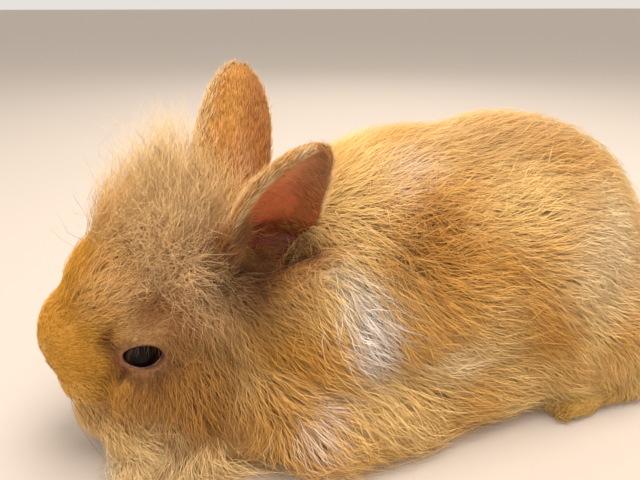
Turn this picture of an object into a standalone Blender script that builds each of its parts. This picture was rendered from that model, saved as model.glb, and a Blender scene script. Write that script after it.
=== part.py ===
"""Young lionhead rabbit, crouched on the floor with its ears up.

The animal faces -X, its left side is towards -Y, and the floor is z = 0.
Its body is modelled whole from smooth lumps, blended into one surface out to the
tips of the coat, and then parted by thin cuts into the pieces a person would name.
Places and radii in the tables are in millimetres, and y is given for the right side.
"""
import math
import random

import bmesh
import bpy
from mathutils import Matrix, Vector
from mathutils.bvhtree import BVHTree

MM = 0.001
GAP = 0.3
COAT_ABOVE_FLOOR = 1.2
BODY_VOXEL = 2.2
BODY_TRIANGLES = 1900
PAW_VOXEL = 1.0
PAW_TRIANGLES = 200
CLEARANCE = 0.5
FAR = 400.0

# Head: the eye, its opening between the lids, and the line of the mouth
EYE_CENTRE = Vector((-92.0, 14.4, 39.5))
EYE_RADIUS = 6.6
SOCKET_RADIUS = 7.6
LID_RADIUS = 8.5
EYE_OPENING_LENGTH = 12.2
EYE_OPENING_HEIGHT = 7.4
EYE_TURN_UP = 12.0
EYE_TURN_FORWARD = 8.0
NOSTRIL = ((-119.2, 2.9, 36.6), (2.6, 0.9, 1.5), 35)
MOUTH_LINE = ((-118.5, 0.0, 33.0), (-118.5, 0.0, 27.5), (-114.5, 5.0, 24.5), (-106.0, 11.5, 21.5))
GROOVE_RADIUS = 0.7

# Ears: root and tip of each, and the way that its cup opens
EAR_ROOT = {"left": (-58.0, -14.0, 60.0), "right": (-61.0, 13.0, 60.0)}
EAR_TIP = {"left": (-42.0, -40.0, 105.0), "right": (-49.0, 21.0, 119.0)}
EAR_OPENS = {"left": (0.30, -0.80, -0.45), "right": (-0.45, 0.90, 0.0)}
EAR_HALF_WIDTH = 14.0
EAR_ROOT_HALF_WIDTH = 7.5
EAR_THICKNESS = 2.6
EAR_PLUG = (9.6, 9.6, 9.6)

# Lumps: centre, radii out to the tips of the coat, pitch in degrees, and how far the
# locks of the mane stand above the core there
TRUNK = {
    "rump": ((72, 0, 37), (60, 44, 40), 26, 4),
    "loin": ((38, 0, 48), (60, 45, 53), 6, 4),
    "ribs": ((4, 0, 46), (56, 45, 51), -6, 4),
    "shoulders": ((-28, 0, 42), (42, 43, 45), -16, 4),
    "chest": ((-52, 0, 20), (38, 42, 34), 0, 5),
    "belly": ((14, 0, 18), (84, 46, 36), 0, 4),
    "nape": ((-46, 0, 48), (34, 38, 39), -20, 5),
}
HEAD = {
    "cranium": ((-76, 0, 46), (31, 27, 30), 0, 3),
    "forehead": ((-92, 0, 50), (28, 23, 24), -30, 1),
    "bridge": ((-103, 0, 41), (20, 18, 19), -20, 0),
    "muzzle": ((-109, 0, 31), (14, 15, 15), 0, 0),
    "lower lip": ((-111, 0, 19), (8, 8, 6), 0, 0),
    "chin": ((-104, 0, 14), (15, 15, 14), 0, 3),
    "throat": ((-84, 0, 14), (34, 35, 26), 0, 5),
}
PAIRS = {
    "thigh": ((64, 22, 26), (48, 28, 36), 10, 4),
    "elbow": ((-16, 27, 14), (28, 19, 24), 0, 3),
    "cheek": ((-82, 15, 26), (28, 20, 26), 0, 4),
    "whisker pad": ((-111, 6, 28), (11, 10, 10), 0, 0),
}

# Locks of the coat: where they root, in x and z, how far apart, their length, width
# and thickness, how high their tips stand, and the way they lie
LOCK_SEED = 7
LOCK_SUNK = 1.6
FORELOCK = {"x": (-101, -62), "z": (58, 90), "apart": 8.4, "size": (37, 13, 2.6)}
CROWN_X = -82.0
FORELOCK_FAN = (0.014, 0.03)
FORELOCK_UPRIGHT = 0.5
ROOT_DRAWS = 30000
COAT = {
    "cheek": {"x": (-100, -62), "z": (10, 60), "apart": 12.5, "size": (24, 15, 2.6), "stand": 4.5,
              "lie": (0.80, 0.10, -0.55)},
    "beard": {"x": (-118, -62), "z": (-4, 14), "apart": 13.0, "size": (20, 14, 2.6), "stand": 4.5,
              "lie": (0.45, 0.10, -0.85)},
    "ruff": {"x": (-62, -24), "z": (4, 95), "apart": 16.0, "size": (32, 19, 3.0), "stand": 5.5,
             "lie": (0.92, 0.05, -0.35)},
    "trunk": {"x": (-24, 118), "z": (6, 105), "apart": 25.0, "size": (42, 28, 3.4), "stand": 4.5,
              "lie": (0.93, 0.04, -0.30)},
}
BARE_ROUND_EYE = 13.0
NOT_UNDERNEATH = -0.5

# Cutting regions: the planes lean forward at the bottom, the rest are ellipsoids
HEAD_PLANE = ((-45, 0, 45), 16)
NECK_PLANE = ((-25, 0, 47), 17)
THIGH_REGION = ((66, 40, 24), (47, 26, 38), 8)
ELBOW_REGION = ((-8, 38, 10), (25, 18, 25), 0)

# The tail, a short tuft that lies against the rump
TAIL = {
    "tuft": ((122, 0, 36), (12, 13, 18), -12),
    "root": ((116, 0, 26), (13, 11, 12), 40),
}
TAIL_TRIANGLES = 260

# Limbs that rest on the floor
FOREARM = ((-44, 28, 9), (26, 8.5, 8.5), 0)
FOREPAW = {
    "wrist": ((-74, 23, 7), (13, 7.5, 7.5), 0),
    "palm": ((-84, 22, 5.5), (12, 8, 6.5), 0),
}
HIND_FOOT = {
    "heel": ((101, 37, 7), (11, 8.5, 8.5), 0),
    "sole": ((78, 39, 5.5), (32, 8.5, 7.0), 0),
    "ball": ((58, 40.5, 5.0), (13, 9, 6.0), 0),
}
TOES_ON_FOOT = 4
TOE_ARC = 1.6
TOE_FAN = 4.0
CLAW_RADII = (1.0, 0.25)
CLAW_SLOPE = -100.0
CLAW_PLACE = (0.6, 0.5, -1.6)
FOREPAW_TOES = {"start": (-93, 22, 3.8), "spread": 3.9, "radii": (8.0, 2.9, 4.4), "claw": 4.5}
HIND_TOES = {"start": (49, 41, 4.0), "spread": 4.3, "radii": (10.0, 3.2, 4.8), "claw": 5.5}

COLOURS = {
    "head": (0.58, 0.33, 0.12),
    "neck": (0.62, 0.37, 0.15),
    "torso": (0.66, 0.40, 0.15),
    "tail": (0.68, 0.46, 0.22),
    "ear": (0.55, 0.30, 0.14),
    "eye": (0.012, 0.010, 0.012),
    "foreleg": (0.60, 0.36, 0.14),
    "forepaw": (0.64, 0.42, 0.20),
    "thigh": (0.64, 0.39, 0.15),
    "hind_foot": (0.60, 0.37, 0.11),
}


def reset_scene():
    for item in list(bpy.data.objects):
        bpy.data.objects.remove(item, do_unlink=True)


def new_collection(name):
    collection = bpy.data.collections.new(name)
    bpy.context.scene.collection.children.link(collection)
    return collection


def mesh_object(name, bm, collection):
    bmesh.ops.recalc_face_normals(bm, faces=bm.faces)
    mesh = bpy.data.meshes.new(name)
    bm.to_mesh(mesh)
    bm.free()
    item = bpy.data.objects.new(name, mesh)
    collection.objects.link(item)
    return item


def bake(item):
    """Replace the object's mesh by what its modifiers make of it."""
    graph = bpy.context.evaluated_depsgraph_get()
    mesh = bpy.data.meshes.new_from_object(item.evaluated_get(graph))
    item.modifiers.clear()
    item.data = mesh
    return item


def copy_of(item, name):
    twin = bpy.data.objects.new(name, item.data.copy())
    item.users_collection[0].objects.link(twin)
    return twin


def clearance_of(item):
    """The object grown all round, to cut room for it out of its neighbours."""
    grown = copy_of(item, "clearance")
    swell = grown.modifiers.new("swell", "DISPLACE")
    swell.strength = CLEARANCE * MM
    swell.mid_level = 0.0
    return bake(grown)


def remove(item):
    bpy.data.objects.remove(item, do_unlink=True)


def keep_largest(item):
    """Drop every closed surface but the one that holds the most."""
    bm = bmesh.new()
    bm.from_mesh(item.data)
    unseen = set(bm.verts)
    pieces = []
    while unseen:
        stack = [unseen.pop()]
        piece = set(stack)
        while stack:
            for edge in stack.pop().link_edges:
                for vert in edge.verts:
                    if vert in unseen:
                        unseen.remove(vert)
                        piece.add(vert)
                        stack.append(vert)
        pieces.append(piece)
    pieces.sort(key=surface_volume, reverse=True)
    for piece in pieces[1:]:
        bmesh.ops.delete(bm, geom=list(piece), context="VERTS")
    bm.to_mesh(item.data)
    bm.free()
    return item


def surface_volume(verts):
    faces = {face for vert in verts for face in vert.link_faces}
    total = 0.0
    for face in faces:
        first = face.verts[0].co
        for one, two in zip(face.verts[1:], face.verts[2:]):
            total += first.dot(one.co.cross(two.co)) / 6.0
    return total


def combine(item, other, operation):
    """Union, difference or intersection with another closed object.

    The exact solver leaves open edges where the face's many small cuts meet.
    """
    modifier = item.modifiers.new(operation, "BOOLEAN")
    modifier.solver = "MANIFOLD"
    modifier.operation = operation
    modifier.object = other
    bake(item)
    remove(other)
    return item


def add_ball(bm, centre, radii, pitch=0.0, yaw=0.0, margin=0.0, detail=3):
    """Add an ellipsoid; a positive pitch lowers its end towards +X."""
    sizes = [(radius + margin) * MM for radius in radii]
    place = (
        Matrix.Translation(Vector(centre) * MM)
        @ Matrix.Rotation(math.radians(yaw), 4, "Z")
        @ Matrix.Rotation(math.radians(pitch), 4, "Y")
        @ Matrix.Diagonal((*sizes, 1.0))
    )
    bmesh.ops.create_icosphere(bm, subdivisions=detail, radius=1.0, matrix=place)


def ball_object(name, lump, collection, side=1, margin=0.0, detail=3):
    (x, y, z), radii, pitch = lump
    bm = bmesh.new()
    add_ball(bm, (x, side * y, z), radii, pitch, margin=margin, detail=detail)
    return mesh_object(name, bm, collection)


def blend(item, voxel, rounds, triangles):
    """Melt overlapping lumps into one smooth surface of about the triangles asked for."""
    remesh = item.modifiers.new("melt", "REMESH")
    remesh.mode = "VOXEL"
    remesh.voxel_size = voxel * MM
    smooth = item.modifiers.new("soften", "SMOOTH")
    smooth.factor = 0.5
    smooth.iterations = rounds
    bake(item)
    decimate = item.modifiers.new("thin out", "DECIMATE")
    decimate.ratio = triangles / (2.0 * len(item.data.polygons))
    decimate.use_collapse_triangulate = True
    return bake(item)


def whole_body(collection):
    bm = bmesh.new()
    for group in (TRUNK, HEAD):
        for centre, radii, pitch, depth in group.values():
            add_ball(bm, centre, radii, pitch, margin=-depth)
    for (x, y, z), radii, pitch, depth in PAIRS.values():
        for side in (-1, 1):
            add_ball(bm, (x, side * y, z), radii, pitch, margin=-depth)
    body = blend(mesh_object("body", bm, collection), BODY_VOXEL, 30, BODY_TRIANGLES)
    grow_mane(body)
    return combine(body, floor_block(collection, COAT_ABOVE_FLOOR), "DIFFERENCE")


def random_roots(body, apart, allowed, draw):
    """Places on the body at least so far apart, with the normal at each."""
    body.data.calc_loop_triangles()
    corners = [vert.co for vert in body.data.vertices]
    triangles = list(body.data.loop_triangles)
    areas = [triangle.area for triangle in triangles]
    roots = []
    for triangle in draw.choices(triangles, weights=areas, k=ROOT_DRAWS):
        one, two = sorted((draw.random(), draw.random()))
        first, second, third = (corners[index] for index in triangle.vertices)
        place = (first * one + second * (two - one) + third * (1.0 - two)) / MM
        normal = triangle.normal.copy()
        if not allowed(place, normal):
            continue
        if all((place - other).length >= apart for other, _ in roots):
            roots.append((place, normal))
    return roots


def inside(field, place):
    low_x, high_x = field["x"]
    low_z, high_z = field["z"]
    return low_x <= place.x <= high_x and low_z <= place.z <= high_z


def clear_of_eyes(place):
    near = Vector((EYE_CENTRE.x, math.copysign(EYE_CENTRE.y, place.y), EYE_CENTRE.z))
    return (place - near).length > BARE_ROUND_EYE


def grow_mane(body):
    """Forelock, cheeks, beard and ruff as flat, tapered locks fused to the body."""
    draw = random.Random(LOCK_SEED)
    skin = surface_of(body)
    locks = new_collection("locks")

    def on_crown(place, normal):
        return inside(FORELOCK, place) and normal.z > FORELOCK_UPRIGHT

    for place, normal in random_roots(body, FORELOCK["apart"], on_crown, draw):
        path = standing_path(place, normal, FORELOCK["size"][0] * draw.uniform(0.85, 1.1), draw)
        add_lock(path, FORELOCK["size"], locks)
    for field in COAT.values():

        def in_field(place, normal):
            return inside(field, place) and clear_of_eyes(place) and normal.z > NOT_UNDERNEATH

        for place, normal in random_roots(body, field["apart"], in_field, draw):
            path = lying_path(place, field, skin, draw)
            add_lock(path, field["size"], locks)
    union = body.modifiers.new("mane", "BOOLEAN")
    union.operation = "UNION"
    union.solver = "MANIFOLD"
    union.operand_type = "COLLECTION"
    union.collection = locks
    bake(body)
    for item in list(locks.objects):
        remove(item)
    bpy.data.collections.remove(locks)
    keep_largest(body)


def standing_path(place, normal, length, draw):
    """A lock of the forelock: up and outwards, its tip bending back a little."""
    outwards = Vector(((place.x - CROWN_X) * FORELOCK_FAN[0], place.y * FORELOCK_FAN[1], 1.0))
    way = (outwards + Vector((draw.gauss(0, 0.12), draw.gauss(0, 0.12), 0))).normalized()
    bend = Vector((draw.uniform(0.1, 0.3), draw.gauss(0, 0.12), -0.05))
    start = place - normal * LOCK_SUNK
    path = []
    for share in (0.0, 0.4, 0.75, 1.0):
        path.append((start + way * (length * share) + bend * (length * share**2), Vector((0, 1, 0))))
    return path


def lying_path(place, field, skin, draw):
    """A lock that follows the body, its tip standing above the core."""
    lie = Vector(field["lie"])
    lie.y = math.copysign(lie.y, place.y)
    lie += Vector((draw.gauss(0, 0.10), draw.gauss(0, 0.08), draw.gauss(0, 0.12)))
    length = field["size"][0] * draw.uniform(0.85, 1.15)
    steps = (0.0, 0.3, 0.65, 1.0)
    path = []
    here = place
    for number, share in enumerate(steps):
        if number:
            here = here + way * (length * (share - steps[number - 1]))
        spot, normal, _, _ = skin.find_nearest(here * MM)
        here = spot / MM
        way = (lie - normal * lie.dot(normal)).normalized()
        height = -LOCK_SUNK + (field["stand"] + LOCK_SUNK) * share**0.8
        path.append((here + normal * height, normal.copy()))
    return path


def add_lock(path, size, collection):
    """A flat, tapered solid with a low ridge along the path, ending in a point."""
    _, width, thickness = size
    bm = bmesh.new()
    rings = []
    for number, (centre, normal) in enumerate(path[:-1]):
        along = (path[number + 1][0] - centre).normalized()
        across = along.cross(normal).normalized()
        upwards = across.cross(along).normalized()
        share = number / (len(path) - 1)
        half_width = width / 2 * (0.8 + 0.5 * share - 1.0 * share**2)
        half_thickness = thickness / 2 * (1.0 - 0.6 * share)
        ring = [
            bm.verts.new((centre + offset) * MM)
            for offset in (
                across * half_width - upwards * half_thickness,
                upwards * half_thickness,
                -across * half_width - upwards * half_thickness,
            )
        ]
        rings.append(ring)
    tip = bm.verts.new(path[-1][0] * MM)
    bm.faces.new(rings[0])
    for lower, upper in zip(rings, rings[1:]):
        for corner in range(3):
            after = (corner + 1) % 3
            bm.faces.new((lower[corner], lower[after], upper[after], upper[corner]))
    for corner in range(3):
        bm.faces.new((rings[-1][corner], rings[-1][(corner + 1) % 3], tip))
    bmesh.ops.triangulate(bm, faces=bm.faces)
    mesh_object("lock", bm, collection)


def floor_block(collection, top):
    """A block whose upper face is at the height given."""
    bm = bmesh.new()
    place = Matrix.Translation((0, 0, (top - FAR / 2) * MM))
    bmesh.ops.create_cube(bm, size=FAR * MM, matrix=place)
    return mesh_object("floor", bm, collection)


def half_space(plane, offset, sign, collection):
    """A block that fills one side of a plane leaning forward at the bottom."""
    centre, lean = plane
    turn = Matrix.Rotation(math.radians(lean), 4, "Y")
    shift = Matrix.Translation(((offset + sign * FAR / 2) * MM, 0, 0))
    bm = bmesh.new()
    bmesh.ops.create_cube(bm, size=FAR * MM, matrix=Matrix.Translation(Vector(centre) * MM) @ turn @ shift)
    return mesh_object("half", bm, collection)


def split_at(body, plane, name, cutters):
    """Cut the front off the body at a plane, with the gap between; return the front."""
    front = copy_of(body, name)
    combine(front, half_space(plane, -GAP / 2, -1, cutters), "INTERSECT")
    combine(body, half_space(plane, GAP / 2, 1, cutters), "INTERSECT")
    keep_largest(body)
    return keep_largest(front)


def part_off(body, region, name, side, cutters, detail=2):
    """Take the stretch of the body inside an ellipsoid as a node of its own."""
    node = copy_of(body, name)
    combine(node, ball_object("region", region, cutters, side, detail=detail), "INTERSECT")
    combine(body, ball_object("region", region, cutters, side, GAP, detail), "DIFFERENCE")
    keep_largest(body)
    return keep_largest(node)


def eye_frame(side):
    """The eye's place and turn: local -Y looks out of the left eye."""
    centre = Vector((EYE_CENTRE.x, side * EYE_CENTRE.y, EYE_CENTRE.z)) * MM
    return (
        Matrix.Translation(centre)
        @ Matrix.Rotation(math.radians(-side * EYE_TURN_FORWARD), 4, "Z")
        @ Matrix.Rotation(math.radians(side * EYE_TURN_UP), 4, "X")
    )


def eyeball(name, side, radius, collection, detail=3):
    bm = bmesh.new()
    bmesh.ops.create_icosphere(bm, subdivisions=detail, radius=radius * MM, matrix=eye_frame(side))
    return mesh_object(name, bm, collection)


def lid_opening(side, collection):
    """An almond prism that opens the lids in front of the eye."""
    half_length = EYE_OPENING_LENGTH / 2
    half_height = EYE_OPENING_HEIGHT / 2
    arc_radius = (half_length**2 + half_height**2) / (2 * half_height)
    half_angle = math.asin(half_length / arc_radius)
    steps = 8
    outline = []
    for sign in (1, -1):
        for step in range(steps):
            angle = half_angle * (1 - 2 * step / steps) * sign
            outline.append((
                arc_radius * math.sin(angle),
                sign * (arc_radius * math.cos(angle) - arc_radius + half_height),
            ))
    bm = bmesh.new()
    verts = [bm.verts.new((x * MM, 0, z * MM)) for x, z in outline]
    face = bm.faces.new(verts)
    depth = side * 3 * EYE_RADIUS * MM
    grown = bmesh.ops.extrude_face_region(bm, geom=[face])
    moved = [piece for piece in grown["geom"] if isinstance(piece, bmesh.types.BMVert)]
    bmesh.ops.translate(bm, verts=moved, vec=(0, depth, 0))
    bmesh.ops.transform(bm, matrix=eye_frame(side), verts=bm.verts)
    return mesh_object("opening", bm, collection)


def groove(points, surface, collection):
    """A round wire laid along the surface through the points, to cut a crease."""
    curve = bpy.data.curves.new("groove", "CURVE")
    curve.dimensions = "3D"
    curve.bevel_depth = GROOVE_RADIUS * MM
    curve.bevel_resolution = 0
    curve.use_fill_caps = True
    spline = curve.splines.new("POLY")
    places = [surface.find_nearest(Vector(point) * MM)[0] for point in refined(points)]
    spline.points.add(len(places) - 1)
    for knot, place in zip(spline.points, places):
        knot.co = (*place, 1.0)
    wire = bpy.data.objects.new("groove", curve)
    collection.objects.link(wire)
    graph = bpy.context.evaluated_depsgraph_get()
    mesh = bpy.data.meshes.new_from_object(wire.evaluated_get(graph))
    bm = bmesh.new()
    bm.from_mesh(mesh)
    bmesh.ops.remove_doubles(bm, verts=bm.verts, dist=0.01 * MM)
    remove(wire)
    return mesh_object("groove", bm, collection)


def refined(points, pieces=4):
    """Straight runs between the points, cut into short pieces."""
    fine = [Vector(points[0])]
    for start, end in zip(points, points[1:]):
        for step in range(1, pieces + 1):
            fine.append(Vector(start).lerp(Vector(end), step / pieces))
    return fine


def surface_of(item):
    graph = bpy.context.evaluated_depsgraph_get()
    return BVHTree.FromObject(item, graph)


def shape_face(head, cutters):
    """Sockets, lids, nostrils and the line of the mouth."""
    skin = surface_of(head)
    for side in (-1, 1):
        combine(head, eyeball("lids", side, LID_RADIUS, cutters), "UNION")
    for side in (-1, 1):
        combine(head, eyeball("socket", side, SOCKET_RADIUS, cutters, detail=2), "DIFFERENCE")
        combine(head, lid_opening(side, cutters), "DIFFERENCE")
        (x, y, z), radii, yaw = NOSTRIL
        bm = bmesh.new()
        add_ball(bm, (x, side * y, z), radii, yaw=-side * yaw, detail=2)
        combine(head, mesh_object("nostril", bm, cutters), "DIFFERENCE")
        line = [(x, side * y, z) for x, y, z in MOUTH_LINE]
        combine(head, groove(line, skin, cutters), "DIFFERENCE")
    return keep_largest(head)


def ear_outline(share):
    """Half the ear's width at a share of its length, and the half angle of its curl."""
    widest = 0.45
    if share < widest:
        rise = math.sin(math.pi / 2 * share / widest)
        half = EAR_ROOT_HALF_WIDTH + (EAR_HALF_WIDTH - EAR_ROOT_HALF_WIDTH) * rise
    else:
        fall = (share - widest) / (1.0 - widest)
        half = EAR_HALF_WIDTH * max(0.0, 1.0 - fall**2.4) ** 0.6
    curl = math.radians(48.0 + 85.0 * math.exp(-share / 0.22))
    return max(half, 3.0), curl


def ear_solid(name, side_name, collection):
    """A curled leaf of even thickness, with a plug that seats it in the head."""
    root = Vector(EAR_ROOT[side_name])
    axis = Vector(EAR_TIP[side_name]) - root
    length = axis.length
    axis.normalize()
    opens = Vector(EAR_OPENS[side_name])
    opens = (opens - axis * opens.dot(axis)).normalized()
    across = axis.cross(opens)
    rows, columns = 11, 7
    bm = bmesh.new()
    bmesh.ops.create_grid(bm, x_segments=columns - 1, y_segments=rows - 1, size=1.0)
    for vert in bm.verts:
        share = (vert.co.y + 1.0) / 2.0
        turn = vert.co.x
        half, curl = ear_outline(share)
        bend = half / math.sin(min(curl, math.pi / 2))
        angle = curl * turn
        reach = share * length * (1.0 - 0.10 * share**3 * turn**2)
        rim_level = math.cos(curl) * min(1.0, share / 0.3)
        lean_back = 3.0 * math.sin(math.pi * share)
        place = (
            root
            + axis * reach
            + across * bend * math.sin(angle)
            + opens * (bend * (rim_level - math.cos(angle)) - lean_back)
        )
        vert.co = place * MM
    bmesh.ops.triangulate(bm, faces=bm.faces)
    ear = mesh_object(name, bm, collection)
    shell = ear.modifiers.new("thickness", "SOLIDIFY")
    shell.thickness = EAR_THICKNESS * MM
    shell.offset = 0.0
    bake(ear)
    bm = bmesh.new()
    add_ball(bm, root, EAR_PLUG, detail=2)
    combine(ear, mesh_object("plug", bm, collection), "UNION")
    return keep_largest(ear)


def add_toes(bm, toes, side):
    x, y, z = toes["start"]
    middle = (TOES_ON_FOOT - 1) / 2
    for number in range(TOES_ON_FOOT):
        step = number - middle
        forward = TOE_ARC * (middle**2 - step**2) / middle
        centre = (x - forward, side * y + step * toes["spread"], z)
        add_ball(bm, centre, toes["radii"], yaw=-TOE_FAN * step, detail=2)


def foot(name, lumps, toes, side, collection):
    """A furry foot with four toes, flat underneath."""
    bm = bmesh.new()
    for (x, y, z), radii, pitch in lumps.values():
        add_ball(bm, (x, side * y, z), radii, pitch)
    add_toes(bm, toes, side)
    item = blend(mesh_object(name, bm, collection), PAW_VOXEL, 4, PAW_TRIANGLES)
    for claw in claws(toes, side, collection):
        combine(item, claw, "UNION")
    return combine(item, floor_block(collection, 0.0), "DIFFERENCE")


def claws(toes, side, collection):
    """A short cone at the tip of each toe, sunk in by half its length."""
    x, y, z = toes["start"]
    middle = (TOES_ON_FOOT - 1) / 2
    made = []
    for number in range(TOES_ON_FOOT):
        step = number - middle
        forward = TOE_ARC * (middle**2 - step**2) / middle + toes["radii"][0]
        back, apart, up = CLAW_PLACE
        centre = Vector((x - forward + back, side * y + step * (toes["spread"] + apart), z + up))
        slope = Matrix.Rotation(math.radians(CLAW_SLOPE), 4, "Y")
        bm = bmesh.new()
        bmesh.ops.create_cone(
            bm, cap_ends=True, segments=6, radius1=CLAW_RADII[0] * MM, radius2=CLAW_RADII[1] * MM,
            depth=toes["claw"] * MM, matrix=Matrix.Translation(centre * MM) @ slope,
        )
        made.append(mesh_object("claw", bm, collection))
    return made


def tail(collection):
    bm = bmesh.new()
    for centre, radii, pitch in TAIL.values():
        add_ball(bm, centre, radii, pitch)
    return blend(mesh_object("tail", bm, collection), PAW_VOXEL, 6, TAIL_TRIANGLES)


def material(name, colour, roughness):
    made = bpy.data.materials.new(name)
    made.use_nodes = True
    shader = made.node_tree.nodes["Principled BSDF"]
    shader.inputs["Base Color"].default_value = (*colour, 1.0)
    shader.inputs["Roughness"].default_value = roughness
    shader.inputs["Metallic"].default_value = 0.0
    return made


def finish(item, kind, name, collection):
    """Name the object, give it its material and move it among the parts."""
    item.name = name
    item.data.name = name
    for holder in list(item.users_collection):
        holder.objects.unlink(item)
    collection.objects.link(item)
    item.data.materials.clear()
    roughness = 0.08 if kind == "eye" else 0.9
    item.data.materials.append(material(name, COLOURS[kind], roughness))
    item.data.shade_smooth()
    return item


def stand_on_origin(items):
    """Shift everything so that the origin is under the middle of the whole."""
    corners = [item.matrix_world @ vert.co for item in items for vert in item.data.vertices]
    middle_x = (min(p.x for p in corners) + max(p.x for p in corners)) / 2
    middle_y = (min(p.y for p in corners) + max(p.y for p in corners)) / 2
    for item in items:
        item.data.transform(Matrix.Translation((-middle_x, -middle_y, 0)))


def main():
    reset_scene()
    rabbit = new_collection("rabbit")
    work = new_collection("cutters")
    sides = {"left": -1, "right": 1}
    torso = whole_body(work)
    nodes = {}
    nodes["tail"] = tail(work)
    combine(torso, clearance_of(nodes["tail"]), "DIFFERENCE")
    for side_name, side in sides.items():
        nodes[f"thigh_{side_name}"] = part_off(torso, THIGH_REGION, "thigh", side, work)
        nodes[f"foreleg_{side_name}"] = part_off(torso, ELBOW_REGION, "foreleg", side, work)
    head = split_at(torso, HEAD_PLANE, "head", work)
    neck = split_at(torso, NECK_PLANE, "neck", work)
    shape_face(head, work)
    for side_name, side in sides.items():
        paw = foot("forepaw", FOREPAW, FOREPAW_TOES, side, work)
        hind = foot("hind_foot", HIND_FOOT, HIND_TOES, side, work)
        ear = ear_solid("ear", side_name, work)
        foreleg = nodes[f"foreleg_{side_name}"]
        for body in (head, neck, torso):
            combine(body, ball_object("clearance", FOREARM, work, side, GAP, 2), "DIFFERENCE")
        combine(foreleg, ball_object("forearm", FOREARM, work, side, detail=2), "UNION")
        combine(foreleg, floor_block(work, COAT_ABOVE_FLOOR), "DIFFERENCE")
        for body in (head, neck, foreleg):
            combine(body, clearance_of(paw), "DIFFERENCE")
        for body in (torso, nodes[f"thigh_{side_name}"]):
            combine(body, clearance_of(hind), "DIFFERENCE")
        for body in (head, neck):
            combine(body, clearance_of(ear), "DIFFERENCE")
        nodes[f"forepaw_{side_name}"] = paw
        nodes[f"hind_foot_{side_name}"] = hind
        nodes[f"eye_{side_name}"] = eyeball("eye", side, EYE_RADIUS, work)
        nodes[f"ear_{side_name}"] = ear
    nodes.update(head=head, neck=neck, torso=torso)
    for name, item in nodes.items():
        kind = name.removesuffix("_left").removesuffix("_right")
        finish(keep_largest(item), kind, name, rabbit)
    stand_on_origin(list(nodes.values()))


main()
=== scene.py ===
# %% [markdown]
# # A young lionhead rabbit, dressed for a museum case
# The frame holds a rabbit kit that crouches with its ears up: solid pieces at life size
# that say where everything is. They could be shown as they are, but a rabbit is read by
# its coat. So this lesson covers them by one bare skin, some way inside the solids, and
# then grows the coat on that skin, tuft by tuft, out to where the solids reach.

# %% Load the frame
import math

import bpy
import numpy as np
from mathutils import Matrix, Vector
from mathutils.bvhtree import BVHTree
from mathutils.kdtree import KDTree


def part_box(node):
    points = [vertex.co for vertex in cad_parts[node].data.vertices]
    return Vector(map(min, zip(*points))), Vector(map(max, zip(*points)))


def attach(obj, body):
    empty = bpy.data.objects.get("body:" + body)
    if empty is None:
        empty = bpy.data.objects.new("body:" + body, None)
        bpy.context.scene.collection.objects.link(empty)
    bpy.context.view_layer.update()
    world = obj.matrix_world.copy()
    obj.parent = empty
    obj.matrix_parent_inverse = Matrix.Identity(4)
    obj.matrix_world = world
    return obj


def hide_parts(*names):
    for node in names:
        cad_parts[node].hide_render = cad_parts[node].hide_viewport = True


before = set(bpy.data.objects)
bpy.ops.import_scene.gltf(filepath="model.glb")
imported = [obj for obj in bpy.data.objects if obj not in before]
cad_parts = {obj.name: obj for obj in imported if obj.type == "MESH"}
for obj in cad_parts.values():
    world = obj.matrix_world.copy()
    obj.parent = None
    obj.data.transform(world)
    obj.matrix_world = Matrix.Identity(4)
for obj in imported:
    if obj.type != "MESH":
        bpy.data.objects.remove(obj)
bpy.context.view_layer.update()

# %% [markdown]
# Every place below is written in millimetres from a point on the floor under the middle
# of the body, with the nose towards -X and the rabbit's left side towards -Y. That is
# easy to think in. The left eye is the landmark that ties these places to the frame: one
# shift, read from the frame, carries them all to where the solids are.

# %% Places in millimetres
MM = 0.001
EYE = Vector((-92.0, 14.4, 39.5))
eye_low, eye_high = (Vector(corner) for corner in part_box("eye_left"))
SHIFT = (eye_low + eye_high) / 2 - Vector((EYE.x, -EYE.y, EYE.z)) * MM
SIDES = {"left": -1, "right": 1}


def at(x, y, z):
    return Vector((x, y, z)) * MM + SHIFT


print("shift in mm:", [round(value / MM, 2) for value in SHIFT])

# %% [markdown]
# The camera stands about 15 cm from the rabbit's shoulder and looks down on it. Its place
# was worked out from the eye, the ears and the outline, so the head looms large and the
# rump falls away, as in the photograph. A wide lens close by gives that perspective,
# and a long lens from further off would flatten it.

# %% Camera
CAMERA_PLACE = (-86.0, -166.6, 135.0)
CAMERA_TURN = -18.5
CAMERA_TILT = 22.77
LENS = 31.5

bpy.ops.object.camera_add(location=at(*CAMERA_PLACE))
camera = bpy.context.object
camera.name = "camera"
camera.rotation_euler = (math.radians(90 - CAMERA_TILT), 0, math.radians(CAMERA_TURN))
camera.data.lens = LENS
camera.data.sensor_width = 36.0
camera.data.clip_start = 0.005
bpy.context.scene.camera = camera

# %% [markdown]
# The light is that of a plain studio: a big soft lamp high above the back, a weaker one
# from the front that opens the shadows, one from behind that rims the coat, and a pale
# world. Large lamps give the soft edges that let fur look soft, where a small lamp would
# pick out each tuft.

# %% Floor and light
def lamp(name, place, target, power, size, colour):
    turn = (at(*target) - at(*place)).to_track_quat("-Z", "Y").to_euler()
    bpy.ops.object.light_add(type="AREA", location=at(*place), rotation=turn)
    light = bpy.context.object
    light.name = name
    light.data.shape = "DISK"
    light.data.size = size
    light.data.energy = power
    light.data.color = colour


# Name, place, what it points at, power in watts, width in metres, and colour
lamp("key light", (140, -100, 900), (10, 0, 40), 9.0, 0.6, (1.0, 0.95, 0.9))
lamp("fill light", (-500, -700, 420), (-40, 0, 40), 3.2, 0.9, (1.0, 0.95, 0.88))
lamp("back light", (250, 650, 600), (0, 0, 50), 1.8, 0.6, (1.0, 0.94, 0.88))

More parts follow.
